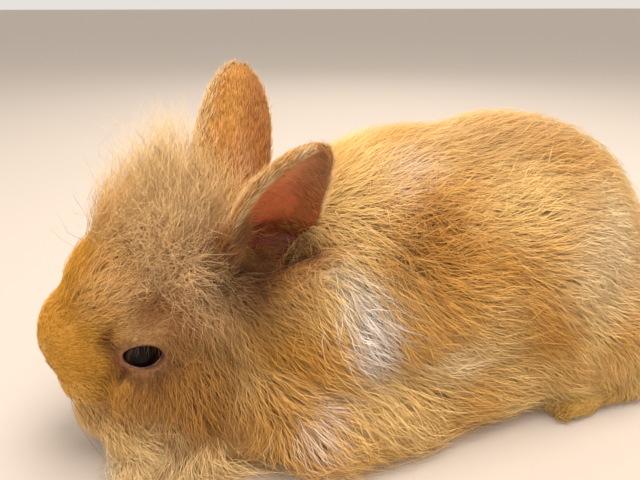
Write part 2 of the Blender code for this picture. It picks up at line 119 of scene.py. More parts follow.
world = bpy.data.worlds.new("studio")
bpy.context.scene.world = world
world.use_nodes = True
sky = world.node_tree.nodes["Background"].inputs
sky["Color"].default_value = (0.84, 0.80, 0.75, 1.0)
sky["Strength"].default_value = 0.95
bpy.context.scene.view_settings.view_transform = "Standard"

bpy.ops.mesh.primitive_plane_add(size=40.0, location=(0, 0, 0))
floor = bpy.context.object
floor.name = "floor"

# %% [markdown]
# A material is a sum of many small sums, and nodes wired by hand hide that. So one small
# class wraps a socket and overloads the operators that are used here: `1 - mask * 0.5`
# adds the Math nodes itself. Colours and vectors have methods of their own, since a Math
# node would turn them grey.

# %% Shader maths
class Value:
    """A number that varies over the surface: a socket that can be reckoned with."""

    def __init__(self, paint, socket):
        self.paint = paint
        self.socket = socket

    def math(self, operation, first, second):
        return self.paint.node("ShaderNodeMath", {"operation": operation}, {0: first, 1: second})

    def __mul__(self, other):
        return self.math("MULTIPLY", self, other)

    def __sub__(self, other):
        return self.math("SUBTRACT", self, other)

    def __rsub__(self, other):
        return self.math("SUBTRACT", other, self)

    __rmul__ = __mul__

    def span(self, low, high, to_low=0.0, to_high=1.0, smooth=True):
        """Run from to_low to to_high while this value goes from low to high."""
        kind = "SMOOTHSTEP" if smooth else "LINEAR"
        sockets = {"Value": self, "From Min": low, "From Max": high, "To Min": to_low, "To Max": to_high}
        return self.paint.node("ShaderNodeMapRange", {"interpolation_type": kind}, sockets)


class Paint:
    """One material and its nodes."""

    def __init__(self, name):
        self.material = bpy.data.materials.new(name)
        self.material.use_nodes = True
        self.tree = self.material.node_tree
        self.surface = self.tree.nodes["Principled BSDF"]

    def node(self, kind, settings, sockets, output=0):
        made = self.tree.nodes.new(kind)
        for name, value in settings.items():
            setattr(made, name, value)
        for name, value in sockets.items():
            self.feed(made.inputs[name], value)
        return Value(self, made.outputs[output])

    def feed(self, socket, value):
        if isinstance(value, Value):
            self.tree.links.new(value.socket, socket)
        else:
            socket.default_value = value

    def set(self, **finish):
        """Feed the shader's own sockets, named with an underscore for each blank."""
        for name, value in finish.items():
            self.feed(self.surface.inputs[name.replace("_", " ")], value)

    def attribute(self, name, output="Vector"):
        return self.node("ShaderNodeAttribute", {"attribute_name": name}, {}, output)

    def place(self):
        return self.node("ShaderNodeTexCoord", {}, {}, "Object")

    def vector(self, operation, first, second, output=0):
        return self.node("ShaderNodeVectorMath", {"operation": operation}, {0: first, 1: second}, output)

    def noise(self, place, scale, detail=2.0, roughness=0.5, output=0):
        sockets = {"Vector": place, "Scale": scale, "Detail": detail, "Roughness": roughness}
        return self.node("ShaderNodeTexNoise", {}, sockets, output)

    def mix(self, first, second, share):
        settings = {"data_type": "RGBA"}
        return self.node("ShaderNodeMix", settings, {"Factor": share, 6: first, 7: second}, 2)

    def dim(self, colour, amount):
        """The colour made darker or lighter by a factor that varies."""
        grey = self.node("ShaderNodeCombineXYZ", {}, {0: amount, 1: amount, 2: amount})
        return self.vector("MULTIPLY", colour, grey)

    def coat_on(self, item):
        """Make this the one material of an object."""
        item.data.materials.clear()
        item.data.materials.append(self.material)

    def bump(self, height, strength, distance):
        sockets = {"Strength": strength, "Distance": distance, "Height": height}
        self.set(Normal=self.node("ShaderNodeBump", {}, sockets))


def srgb(red, green, blue):
    """A colour as read from a screen, 0 to 255, in the linear light of the shaders."""
    def linear(level):
        share = level / 255
        return share / 12.92 if share <= 0.04045 else ((share + 0.055) / 1.055) ** 2.4
    return (linear(red), linear(green), linear(blue), 1.0)


ground = Paint("pale floor")
ground.set(Base_Color=srgb(196, 184, 172), Roughness=0.9)
ground.coat_on(floor)

# %% [markdown]
# Each patch is a soft ellipsoid in space, bent by noise so that its edge isn't a clean
# curve. Most are the coat's own markings, but a few are painted light and shade: a pool
# of painted light on the brow, and painted shade along the brow crease and the tear
# groove. Skin and coat ask the same function, so wherever the coat parts, the skin under
# it has the coat's own colour.

# %% Markings, with painted light and shade
GOLD = srgb(230, 172, 82)
HONEY = srgb(250, 214, 144)
FACE_GOLD = srgb(217, 158, 52)
# Centre and radii in mm, how soft the edge is, how strong the patch is, and its colour.
# A patch off the middle is on both sides.
MARKINGS_AND_PAINTED_LIGHT = (
    ((-112, 0, 48), (32, 30, 32), 0.5, 0.95, FACE_GOLD),
    ((-82, 0, 84), (24, 34, 22), 0.5, 0.9, srgb(230, 194, 140)),
    ((-81, -20, 62), (20, 14, 16), 0.6, 0.85, srgb(228, 192, 146)),
    # A pool of painted light on the brow, where the forelock casts its shadow
    ((-94, -13, 62), (10, 9, 8), 0.8, 0.6, srgb(252, 206, 136)),
    ((-88, -20, 54), (6, 7, 4), 0.8, 0.75, srgb(176, 104, 42)),
    ((-79, -24, 49), (5.5, 7, 3.5), 0.8, 0.7, srgb(170, 100, 44)),
    ((-68, -22, 69), (7, 8, 7), 0.7, 0.9, srgb(98, 58, 30)),
    ((-70, -22, 63), (6, 8, 6), 0.6, 0.8, srgb(116, 72, 38)),
    ((-62, -30, 57), (10, 10, 8), 0.7, 0.85, srgb(114, 73, 40)),
    ((-82, -24, 36), (22, 14, 17), 0.6, 0.7, srgb(168, 112, 52)),
    ((-86, 0, 6), (36, 40, 17), 0.6, 0.8, srgb(236, 204, 152)),
    ((-58, -18, 62), (6.5, 7, 6.5), 0.6, 0.85, srgb(104, 56, 38)),
    ((-42, -14, 62), (12, 9, 8), 0.7, 0.8, srgb(184, 108, 54)),
    ((-46, -8, 62), (13, 8, 5), 0.4, 0.9, srgb(134, 78, 44)),
    ((55, -38, 4), (22, 13, 9), 0.5, 0.85, srgb(206, 162, 80)),
    ((-32, -38, 51), (8, 16, 14.5), 0.4, 1.0, srgb(255, 246, 238)),
    ((-48, -34, 23), (4, 10, 8), 0.6, 0.7, srgb(246, 230, 222)),
    ((-17, -20, 88), (9, 11, 7), 0.6, 0.9, srgb(248, 221, 193)),
    ((-14, -33, 73), (13, 12, 9), 0.7, 0.6, srgb(168, 108, 50)),
    ((-10, -43, 36), (14, 10, 6), 0.6, 1.0, srgb(255, 238, 200)),
    ((54, -38, 66), (22, 18, 20), 0.7, 0.7, srgb(255, 236, 196)),
    ((30, 0, 96), (44, 28, 14), 0.6, 0.7, srgb(230, 190, 134)),
    ((120, 0, 18), (26, 30, 22), 0.6, 0.6, srgb(248, 231, 198)),
    ((14, 0, 0), (90, 34, 10), 0.6, 0.7, srgb(246, 228, 200)),
    ((-91, -30, 15), (11, 10, 8), 0.7, 0.7, srgb(238, 206, 156)),
    ((-106, -16, 18), (3, 4, 1.6), 0.8, 0.8, srgb(112, 62, 30)),
    ((-91.5, -20, 39.3), (8.8, 8, 6.4), 0.35, 0.7, srgb(112, 62, 34)),
    # Painted shade along the brow crease and the tear groove, dark lines where the fur hides the folds
    ((-101.2, -18, 45.6), (1.3, 5, 3.2), 0.8, 0.9, srgb(112, 46, 20)),
    ((-98.8, -19, 34.8), (2.4, 5, 1.8), 0.9, 0.9, srgb(104, 46, 18)),
    ((-98.6, -20, 40.0), (1.8, 5, 3.6), 0.8, 0.75, srgb(124, 60, 38)),
    ((-85.5, -24, 40.5), (4.5, 6, 3.4), 0.8, 0.75, srgb(124, 77, 37)),
)


def add_patch(paint, colour, place, centre, radii, from_to, strength, shade):
    """A soft ellipsoid of another shade over a colour, on both sides of the rabbit."""
    x, y, z = centre
    for side_y in sorted({y, -y}):
        away = paint.vector("SUBTRACT", place, at(x, side_y, z))
        scaled = paint.vector("DIVIDE", away, Vector(radii) * MM)
        far = paint.vector("LENGTH", scaled, (0, 0, 0), "Value")
        colour = paint.mix(colour, shade, far.span(*from_to, strength, 0.0))
    return colour


def coat_colour(paint, place):
    """The colour of the coat that roots at a place, with its markings and its painted light and shade."""
    wander = paint.vector("SUBTRACT", paint.noise(place, 75.0, output=1), (0.5, 0.5, 0.5))
    bent = paint.vector("MULTIPLY_ADD", wander, (0.014, 0.014, 0.014))
    paint.feed(bent.socket.node.inputs[2], place)
    patchy = paint.noise(place, 42.0, 3.0).span(0.36, 0.66)
    colour = paint.mix(GOLD, HONEY, patchy)
    for centre, radii, soft, strength, shade in MARKINGS_AND_PAINTED_LIGHT:
        colour = add_patch(paint, colour, bent, centre, radii, (1.0 - soft, 1.0 + soft), strength, shade)
    return colour


# %% [markdown]
# The bare body is built as a sculptor would rough it out: balls for the rump, ribs,
# shoulders and cheeks, each sunk into the next, then melted into one surface. A voxel
# remesh does the melting in one stroke, where joining them by Booleans would leave sharp
# creases. Each ball is smaller than the solid's by the depth of the coat there.

# %% Lumps of the bare body
# Centre, radii out to the tips of the coat, pitch, and the depth of the coat
TRUNK = (
    ((70, 0, 37), (60, 44, 38.5), 26, 7),
    ((38, 0, 48), (60, 45, 53), 6, 5.5),
    ((4, 0, 46), (56, 45, 52.5), -6, 6),
    ((-28, 0, 42), (42, 43, 44), -16, 9),
    ((-52, 0, 20), (38, 42, 34), 0, 10),
    ((14, 0, 18), (84, 46, 36), 0, 9),
    ((-46, 0, 47), (34, 38, 37), -20, 9),
    ((122, 0, 36), (12, 13, 18), -12, 7),
    ((116, 0, 26), (13, 11, 12), 40, 6),
)
HEAD = (
    ((-76, 0, 46), (31, 27, 30), 0, 6),
    ((-92, 0, 50), (28, 23, 24), -30, 4),
    ((-103, 0, 41), (20, 18, 19), -20, 1.5),
    ((-106.5, 0, 31), (13.2, 15, 15), 0, 1.5),
    ((-107.5, 0, 19), (8, 8, 6), 0, 1),
    ((-101.5, 0, 14), (16, 15, 14), 0, 4.5),
    ((-84, 0, 14), (34, 35, 26), 0, 10),
)
PAIRS = (
    ((64, 22, 26), (48, 28, 36), 10, 7),
    ((-16, 27, 14), (28, 19, 24), 0, 7),
    ((-82, 15, 26), (28, 20, 26), 0, 8),
    ((-106.8, 6.5, 28.5), (10.5, 10, 9.5), 0, 1),
    ((-40, 29, 13), (27, 18.5, 16), 0, 7),
    ((-44, 28, 9), (26, 8.5, 8.5), 0, 1.5),
    ((-74, 23, 7), (13, 7.5, 7.5), 0, 1.2),
    ((-84, 22, 5.5), (12, 8, 6.5), 0, 1.2),
    ((101, 35, 7), (11, 8.5, 8.5), 0, 1.2),
    ((80, 36, 5.5), (30, 8.5, 7.0), 0, 1.2),
    ((62, 37, 5.0), (13, 9, 6.0), 0, 1.2),
)
# Where the middle of the toes is, how far apart they are, and their radii
TOES = {
    "forepaw": ((-93, 22, 3.8), 3.9, (7.2, 2.4, 3.6)),
    "hind_foot": ((54, 37.5, 4.0), 4.3, (9.2, 2.7, 4.0)),
}
TOE_STEPS = (-1.5, -0.5, 0.5, 1.5)
TOE_ARC = 1.6
TOE_FAN = 4.0
LID_RADIUS = 8.3


def deselect():
    bpy.ops.object.select_all(action="DESELECT")


def pick(*items):
    """Select these objects alone, the first of them active."""
    deselect()
    for item in items:
        item.select_set(True)
    bpy.context.view_layer.objects.active = items[0]


def add_ball(centre, radii, pitch=0.0, yaw=0.0):
    bpy.ops.mesh.primitive_ico_sphere_add(
        subdivisions=4, radius=1.0, location=at(*centre),
        rotation=(0, math.radians(pitch), math.radians(yaw)), scale=[radius * MM for radius in radii],
    )
    return bpy.context.object


def join(pieces, name):
    """One object of many, its place in its mesh."""
    pick(*pieces)
    if len(pieces) > 1:
        bpy.ops.object.join()
    joined = bpy.context.object
    joined.name = name
    bpy.ops.object.transform_apply(location=True, rotation=True, scale=True)
    return joined


def apply_modifier(item, kind, **settings):
    modifier = item.modifiers.new(kind, kind)
    for name, value in settings.items():
        setattr(modifier, name, value)
    bpy.context.view_layer.objects.active = item
    bpy.ops.object.modifier_apply(modifier=modifier.name)


def toe_places(start, spread, side):
    """The middle of each toe, the outer ones further back, and the way it points."""
    x, y, z = start
    for step in TOE_STEPS:
        forward = TOE_ARC * (TOE_STEPS[-1] ** 2 - step**2) / TOE_STEPS[-1]
        yield Vector((x - forward, side * y + step * spread, z)), -TOE_FAN * step


balls = []
for centre, radii, pitch, depth in TRUNK + HEAD:
    balls.append(add_ball(centre, [radius - depth for radius in radii], pitch))
for side in SIDES.values():
    for (x, y, z), radii, pitch, depth in PAIRS:
        balls.append(add_ball((x, side * y, z), [radius - depth for radius in radii], pitch))
    for start, spread, radii in TOES.values():
        for centre, yaw in toe_places(start, spread, side):
            balls.append(add_ball(centre, radii, 0.0, yaw))
    balls.append(add_ball((EYE.x, side * EYE.y, EYE.z), [LID_RADIUS] * 3))
skin = join(balls, "skin")
VOXEL = 1.0
apply_modifier(skin, "REMESH", mode="VOXEL", voxel_size=VOXEL * MM)
print("skin:", len(skin.data.polygons), "faces")

# %% [markdown]
# The melted balls still meet in grooves. Smoothing takes them out, but it would also melt
# the lips, lids and toes away, so a vertex group says how much each part may soften:
# all of the trunk, and little of the face and feet.

# %% Soften the body and keep the face
def local(points):
    """World places, in metres, as millimetres in the rabbit's own frame."""
    return (points - np.array(SHIFT)) / MM


def points_of(mesh):
    flat = np.empty(len(mesh.vertices) * 3)
    mesh.vertices.foreach_get("co", flat)
    return flat.reshape(-1, 3)


def step_between(values, low, high):
    """0 below low and 1 above high, with a smooth rise between them."""
    share = np.clip((values - low) / (high - low), 0, 1)
    return share * share * (3 - 2 * share)


def folded(points):
    """The places with the left side laid over the right one."""
    return points * (1, 0, 1) + (0, 1, 0) * np.abs(points)


def distance_to_eye(points):
    return np.linalg.norm(folded(points) - np.array(EYE), axis=1)


LEAST_SOFTNESS = 0.12
LEVELS = 10
here = local(points_of(skin.data))
behind_face = step_between(here[:, 0], -104, -86)
above_feet = step_between(here[:, 2], 9, 16)
softness = behind_face * step_between(distance_to_eye(here), 10, 20) * above_feet
softness = np.maximum(softness, LEAST_SOFTNESS)
soft_group = skin.vertex_groups.new(name="soft")
for level in range(1, LEVELS + 1):
    chosen = np.nonzero(np.ceil(softness * LEVELS) == level)[0]
    soft_group.add(chosen.tolist(), level / LEVELS, "REPLACE")
apply_modifier(skin, "SMOOTH", factor=0.6, iterations=40, vertex_group="soft")
apply_modifier(skin, "SMOOTH", factor=0.5, iterations=3)

# %% [markdown]
# An ear is a leaf of thin skin, rolled into a tube at its root and open towards its tip.
# One formula gives each place on it, and the same formula read backwards tells how any
# other place lies to the ear. The body needs that before the ears are there: the skin is
# pushed down out of each cup, so that the hollow runs down into the head.

# %% The ear's formula, and room for its cup
EAR_ROOT = {"left": (-58.0, -15.0, 59.0), "right": (-62.3, 13.0, 60.0)}
EAR_TIP = {"left": (-43.8, -39.5, 102.8), "right": (-51.0, 21.0, 117.0)}
EAR_OPENS = {"left": (0.25, -0.83, -0.42), "right": (-0.40, 0.90, 0.0)}
EAR_HALF_WIDTH = {"left": 12.3, "right": 14.0}
EAR_WIDEST = {"left": 0.38, "right": 0.42}
EAR_CURL = {"left": 50.0, "right": 42.0}
# How much wider one edge is near the root, and how soon that fades towards the tip
EAR_SWELL = {"left": (1.05, 1.6), "right": (0.35, 1.15)}
EAR_ROOT_HALF_WIDTH = 8.5
EAR_SUNK = 0.2
EAR_FLOOR = 0.04
EAR_WALL = 1.3


def ear_outline(side_name, share, turn):
    """Half the ear's width at a share of its length, and the half angle of its curl."""
    share = max(share, 0.0)
    widest, full = EAR_WIDEST[side_name], EAR_HALF_WIDTH[side_name]
    if share < widest:
        half = EAR_ROOT_HALF_WIDTH + (full - EAR_ROOT_HALF_WIDTH) * math.sin(math.pi / 2 * share / widest)
    else:
        half = full * max(0.0, 1.0 - ((share - widest) / (1.0 - widest)) ** 2.3) ** 0.5
    swell, fade = EAR_SWELL[side_name]
    rise = max(turn, 0.0) * (1.0 - share) ** fade * min(1.0, share / 0.12)
    curl = EAR_CURL[side_name] + 46.0 * math.exp(-share / 0.14)
    return max(half, 2.0) * (1.0 + swell * rise), math.radians(curl)


def ear_axes(side_name):
    """The ear's root, the way to its tip, its length, across it, and the way it opens."""
    root = Vector(EAR_ROOT[side_name])
    axis = Vector(EAR_TIP[side_name]) - root
    length = axis.length
    axis.normalize()
    opens = Vector(EAR_OPENS[side_name])
    opens = (opens - axis * opens.dot(axis)).normalized()
    return root, axis, length, axis.cross(opens), opens


def ear_point(side_name, share, turn):
    """A place on the leaf: share runs up the ear, and turn from one edge to the other."""
    root, axis, length, across, opens = ear_axes(side_name)
    half, curl = ear_outline(side_name, share, turn)
    bend = half / math.sin(min(curl, math.pi / 2))
    level = math.cos(curl) * min(1.0, max(share, 0.0) / 0.3)
    lean_back = 3.0 * math.sin(math.pi * max(share, 0.0))
    outwards = bend * (level - math.cos(curl * turn)) - lean_back
    return root + axis * (share * length) + across * bend * math.sin(curl * turn) + opens * outwards


def ear_place(side_name, spots):
    """Places as the ear sees them: share of its length, share of its width, and outwards."""
    root, axis, length, across, opens = ear_axes(side_name)
    away = spots - np.array(root)
    share = away @ np.array(axis) / length
    steps = np.linspace(0.0, 1.0, 41)
    edges = [[ear_outline(side_name, step, turn)[0] for step in steps] for turn in (-1.0, 1.0)]
    sideways = away @ np.array(across)
    half = np.where(sideways < 0, np.interp(share, steps, edges[0]), np.interp(share, steps, edges[1]))
    return share, sideways / half, away @ np.array(opens)


points = points_of(skin.data)
spots = local(points)
for side_name in SIDES:
    share, turn, outwards = ear_place(side_name, spots)
    within = 1 - step_between(np.abs(turn), 0.95, 1.35)
    within *= (1 - step_between(outwards, 4, 13)) * step_between(outwards, -17, -12)
    sunk = np.clip(share - EAR_FLOOR, 0, 1) * within * (share < 1.2)
    _, axis, length, _, _ = ear_axes(side_name)
    spots = spots - np.array(axis) * (sunk * length)[:, None]
skin.data.vertices.foreach_set("co", (spots * MM + np.array(SHIFT)).ravel())
skin.data.update()
apply_modifier(skin, "SMOOTH", factor=0.5, iterations=4)

# %% [markdown]
# A rabbit's mouth is a narrow slot under a split lip, and its nostrils are two slanted
# slits. A short groove runs down from the front of each eye, and a crease stands before
# the brow. On the real animal they are folds of skin, so they are pressed into it here:
# each vertex near the line of the fold moves inwards, most at its middle. The soles are
# then pressed flat, just above the floor.

# %% Press in the mouth, nostrils and folds
MOUTH = ((-118.2, 0.0, 33.0), (-117.5, 0.0, 27.5), (-114.5, 5.0, 24.5), (-110.5, 8.5, 23.5))
NOSTRIL = ((-120.0, 1.2, 35.4), (-118.4, 4.4, 37.6))
TEAR_GROOVE = ((-97.2, 21.0, 36.8), (-100.8, 20.0, 33.4))
BROW_CREASE = ((-99.8, 18.5, 49.0), (-101.2, 18.5, 46.0), (-100.4, 19.0, 43.4))
# Half the width of each fold and its depth, in mm
PRESSED = ((0.9, 1.3), (0.8, 1.8), (1.1, 1.0), (0.9, 1.1))
SOLE_LEVEL = 0.3


def distance_to_line(points, line):
    """How far each point is from a line of straight runs, mirrored to both sides."""
    places = folded(points)
    nearest = np.full(len(points), 1e9)
    for start, end in zip(np.array(line[:-1]), np.array(line[1:])):
        run = end - start
        share = np.clip((places - start) @ run / (run @ run), 0, 1)
        away = places - start - share[:, None] * run
        nearest = np.minimum(nearest, np.linalg.norm(away, axis=1))
    return nearest


def normals_of(mesh):
    flat = np.empty(len(mesh.vertices) * 3)
    mesh.vertex_normals.foreach_get("vector", flat)
    return flat.reshape(-1, 3)


def press(item, line, half_width, depth):
    points = points_of(item.data)
    near = distance_to_line(local(points), line) / half_width
    inwards = np.exp(-near * near)[:, None] * normals_of(item.data) * depth * MM
    item.data.vertices.foreach_set("co", (points - inwards).ravel())
    item.data.update()


def along_skin(tree, line, steps=6):
    """The line laid on the skin, in short runs."""
    spots = [Vector(line[0])]
    for start, end in zip(line[:-1], line[1:]):
        spots += [Vector(start).lerp(Vector(end), (step + 1) / steps) for step in range(steps)]
    return [tuple(local(np.array(tree.find_nearest(at(*spot))[0]))) for spot in spots]


skin_tree = BVHTree.FromObject(skin, bpy.context.evaluated_depsgraph_get())
FOLDS = [along_skin(skin_tree, line) for line in (MOUTH, NOSTRIL, TEAR_GROOVE, BROW_CREASE)]
for line, (half_width, depth) in zip(FOLDS, PRESSED):
    press(skin, line, half_width, depth)
points = points_of(skin.data)
points[:, 2] = np.maximum(points[:, 2], SOLE_LEVEL * MM)
skin.data.vertices.foreach_set("co", points.ravel())
skin.data.update()

# %% [markdown]
# The eye sits in a socket, and two lids close over it to an almond. The lids are already
# there, as a low swelling round the eye. A ball slightly larger than the eye hollows
# them out from behind, and an almond prism opens them. Cutting keeps the edge of the
# lids crisp, which no amount of vertex moving on this mesh would.

# %% Open the lids
SOCKET_RADIUS = 7.0
OPENING = (11.8, 7.4)
EYE_FORWARD = 8.0
EYE_UP = 12.0
EYE_ROLL = 11.0


def eye_frame(side):
    """The eye's place and turn: local -Y looks out of the left eye, +Y out of the right."""
    turn = (
        Matrix.Rotation(math.radians(-side * EYE_FORWARD), 4, "Z")
        @ Matrix.Rotation(math.radians(side * EYE_UP), 4, "X")
        @ Matrix.Rotation(math.radians(EYE_ROLL), 4, "Y")
    )
    return Matrix.Translation(at(EYE.x, side * EYE.y, EYE.z)) @ turn


def almond(steps):
    """The edge of the opening in mm, x back and z up: an oval, blunt in front and pointed behind."""
    edge = []
    for step in range(steps):
        angle = 2 * math.pi * step / steps
        pinch = abs(math.sin(angle)) ** (0.08 + 0.14 * math.cos(angle))
        edge.append((OPENING[0] / 2 * math.cos(angle), OPENING[1] / 2 * math.sin(angle) * pinch))
    return edge


def cut(item, tool, operation="DIFFERENCE"):
    apply_modifier(item, "BOOLEAN", operation=operation, solver="MANIFOLD", object=tool)
    bpy.data.objects.remove(tool, do_unlink=True)


for side in SIDES.values():
    deselect()
    cut(skin, join([add_ball((EYE.x, side * EYE.y, EYE.z), [SOCKET_RADIUS] * 3)], "socket"))
    edge = almond(40)
    bpy.ops.mesh.primitive_circle_add(vertices=len(edge), radius=1.0, fill_type="NGON")
    prism = bpy.context.object
    for vert, (x, z) in zip(prism.data.vertices, edge):
        vert.co = Vector((x, 0, z)) * MM
    bpy.ops.object.mode_set(mode="EDIT")
    bpy.ops.mesh.select_all(action="SELECT")
    bpy.ops.mesh.extrude_region_move(TRANSFORM_OT_translate={"value": (0, side * 20 * MM, 0)})
    bpy.ops.mesh.select_all(action="SELECT")
    bpy.ops.mesh.normals_make_consistent(inside=False)
    bpy.ops.object.mode_set(mode="OBJECT")
    prism.matrix_world = eye_frame(side)
    cut(skin, join([prism], "almond"))
print("skin with lids:", len(skin.data.polygons), "faces")

# %% [markdown]
# The edge of each lid is bare and moist, a thin roll of pinkish brown skin. It is a round
# wire bent to the almond, half sunk in the lid, and it hides the cut edge.

# %% Lid rims
RIM_RADIUS = 0.55
RIM_OUT = 7.35


def wire(name, points, radius, closed=False):
    """A round tube through places in world space, made a mesh."""
    curve = bpy.data.curves.new(name, "CURVE")
    curve.dimensions = "3D"
    curve.bevel_depth = radius * MM
    curve.bevel_resolution = 2
    spline = curve.splines.new("POLY")
    spline.points.add(len(points) - 1)
    for knot, point in zip(spline.points, points):
        knot.co = (*point, 1.0)
    spline.use_cyclic_u = closed
    item = bpy.data.objects.new(name, curve)
    bpy.context.scene.collection.objects.link(item)
    pick(item)
    bpy.ops.object.convert(target="MESH")
    return bpy.context.object


def on_eye(side, x, z, radius):
    """A place in front of the eye, at a distance from its middle."""
    out = math.sqrt(max(radius**2 - x**2 - z**2, 0.0))
    return eye_frame(side) @ (Vector((x, side * out, z)) * MM)


rims = []
for side in SIDES.values():
    ring = [on_eye(side, x, z, RIM_OUT) for x, z in almond(48)]
    rims.append(wire("rim", ring, RIM_RADIUS, closed=True))
lid_rims = join(rims, "lid_rims")

# %% [markdown]
# The coat needs to know where on the skin each tuft stands. An unwrap of the skin gives
# each place a pair of numbers of its own, which the export uses to keep the colours of
# neighbouring tufts apart. Smart projection cuts the skin into flat islands by its
# angles, which is quick and lets none overlap.

# %% Unwrap the skin
def unwrap(item):
    pick(item)
    bpy.ops.object.mode_set(mode="EDIT")
    bpy.ops.mesh.select_all(action="SELECT")
    bpy.ops.uv.smart_project(angle_limit=math.radians(66), island_margin=0.002)
    bpy.ops.object.mode_set(mode="OBJECT")
    item.data.uv_layers.active.name = "unwrap"


unwrap(skin)
skin.data.shade_smooth()

# %% [markdown]
# Now the ears themselves. A flat grid is bent to the leaf's shape by the formula, much as
# in the solids, and gets a wall by Solidify. The wall is thinner than the solid's,
# which leaves room for the fur.

# %% Ears
ears = {}
for side_name in SIDES:
    deselect()
    bpy.ops.mesh.primitive_grid_add(x_subdivisions=22, y_subdivisions=30, size=2.0)
    ear = bpy.context.object
    ear.name = f"ear_skin_{side_name}"
    for vert in ear.data.vertices:
        share = -EAR_SUNK + (1.0 + EAR_SUNK) * (vert.co.y + 1.0) / 2.0
        vert.co = at(*ear_point(side_name, share, vert.co.x))
    apply_modifier(ear, "SOLIDIFY", thickness=EAR_WALL * MM, offset=0.0)
    apply_modifier(ear, "SUBSURF", levels=1, render_levels=1)
    unwrap(ear)
    ear.data.shade_smooth()
    ears[side_name] = ear
    print(ear.name, len(ear.data.polygons), "faces")

# %% [markdown]
# Fur lies as the animal was stroked when it was young: back from the nose, up over the
# brow, down the cheeks and back along the body. To say that for every place, a few
# anchors each tell how the coat is there, and any other place takes a mean of them that
# favours the nearest. So the lie turns smoothly, and one row changes one part of the
# coat.

# %% How the coat lies
# Place, lie, length, rise at the root and at the tip in degrees, width, tufts to the mm2
ANCHORS = (
    ((-121, 0, 36), (0.5, 0.1, 0.85), 1.8, 12, 4, 0.24, 3.6),
    ((-114, 0, 51), (0.8, 0.1, 0.6), 4.5, 14, 5, 0.28, 3.0),
    ((-104, 0, 62), (0.7, 0.1, 0.7), 10.0, 26, 16, 0.26, 3.2),
    ((-110, 15, 40), (0.95, 0.1, 0.05), 4.5, 14, 5, 0.28, 3.0),
    ((-117, 9, 27), (0.8, 0.4, -0.3), 3.2, 16, 8, 0.25, 3.0),
    ((-103, 19, 33), (0.55, 0.1, -0.7), 6.0, 18, 6, 0.30, 2.6),
    ((-92, 20, 51), (0.8, 0.2, 0.45), 5.0, 20, 10, 0.28, 2.8),
    ((-92, 20, 28), (0.05, 0.1, -1.0), 7.5, 20, 8, 0.30, 2.6),
    ((-82, 22, 44), (0.5, 0.2, -0.75), 8.0, 22, 8, 0.32, 2.4),
    ((-94, 14, 62), (0.7, 0.2, 0.7), 11.0, 40, 25, 0.28, 2.8),
    ((-76, 22, 60), (0.7, 0.3, -0.2), 15.0, 40, 20, 0.30, 2.6),
    ((-80, 0, 74), (0.3, 0.0, 0.95), 40.0, 80, 72, 0.22, 4.8),
    ((-96, 0, 68), (0.8, 0.0, 0.6), 29.0, 58, 50, 0.22, 4.8),
    ((-84, 14, 68), (0.1, 0.35, 0.9), 34.0, 74, 68, 0.22, 4.6),
    ((-80, 30, 24), (0.2, 0.15, -1.0), 19.0, 30, 8, 0.38, 1.9),
    ((-68, 28, 42), (0.55, 0.15, -0.8), 18.0, 30, 8, 0.38, 1.9),
    ((-50, 14, 61), (0.6, 0.65, -0.5), 14.0, 24, 6, 0.32, 3.2),
    ((-98, 18, 10), (0.50, 0.45, -0.7), 18.0, 36, 18, 0.34, 1.9),
    ((-113, 0, 12), (0.5, 0.1, -0.9), 13.0, 24, 10, 0.32, 2.2),
    ((-84, 24, 6), (0.35, 0.8, -0.45), 33.0, 34, 12, 0.34, 2.0),
    ((-52, 34, 30), (0.65, 0.1, -0.75), 23.0, 32, 8, 0.42, 1.7),
    ((-50, 0, 80), (1.0, 0.05, 0.0), 22.0, 32, 10, 0.40, 1.7),
    ((-26, 36, 50), (0.75, 0.05, -0.62), 20.0, 28, 6, 0.40, 1.6),
    ((-52, 28, 8), (0.45, 0.85, -0.4), 34.0, 32, 10, 0.36, 1.8),
    ((8, 0, 93), (1.0, 0.05, -0.05), 18.0, 26, 6, 0.42, 1.5),
    ((8, 32, 76), (0.96, 0.05, -0.2), 18.0, 26, 6, 0.42, 1.5),
    ((12, 40, 44), (0.9, 0.03, -0.42), 19.0, 26, 6, 0.40, 1.5),
    ((12, 40, 12), (0.7, 0.5, -0.45), 23.0, 30, 8, 0.38, 1.6),
    ((40, 44, 14), (0.75, 0.3, -0.55), 19.0, 28, 8, 0.38, 1.6),
    ((14, 0, 2), (1.0, 0.0, 0.0), 12.0, 18, 6, 0.45, 0.4),
    ((45, 0, 96), (1.0, 0.05, -0.15), 18.0, 26, 6, 0.42, 1.5),
    ((64, 44, 40), (0.85, 0.05, -0.55), 17.0, 24, 6, 0.40, 1.5),
    ((92, 18, 62), (0.75, 0.1, -0.65), 17.0, 26, 6, 0.42, 1.5),
    ((116, 14, 14), (0.5, 0.2, -0.8), 15.0, 24, 8, 0.42, 1.4),
    ((130, 0, 44), (0.3, 0.0, 0.95), 13.0, 30, 20, 0.36, 2.2),
    ((126, 0, 24), (0.5, 0.0, -0.8), 13.0, 30, 20, 0.36, 2.0),
    ((56, 46, 19), (0.1, 0.0, -1.0), 13.0, 30, 12, 0.38, 2.2),
    ((80, 46, 16), (0.25, 0.0, -1.0), 13.0, 28, 12, 0.38, 2.0),
    ((56, 42, 6), (-0.95, 0.05, -0.1), 4.0, 14, 4, 0.28, 2.4),
    ((90, 40, 8), (-0.9, 0.1, 0.1), 5.0, 14, 5, 0.30, 2.0),
    ((-88, 22, 9), (-0.95, 0.05, -0.2), 3.6, 14, 4, 0.26, 3.0),
    ((-60, 28, 12), (-0.5, 0.2, -0.6), 8.0, 22, 8, 0.30, 2.0),
    ((-16, 43, 14), (0.6, 0.6, -0.5), 26.0, 30, 8, 0.38, 1.6),
)
ANCHOR_PLACES = np.array([anchor[0] for anchor in ANCHORS], float)
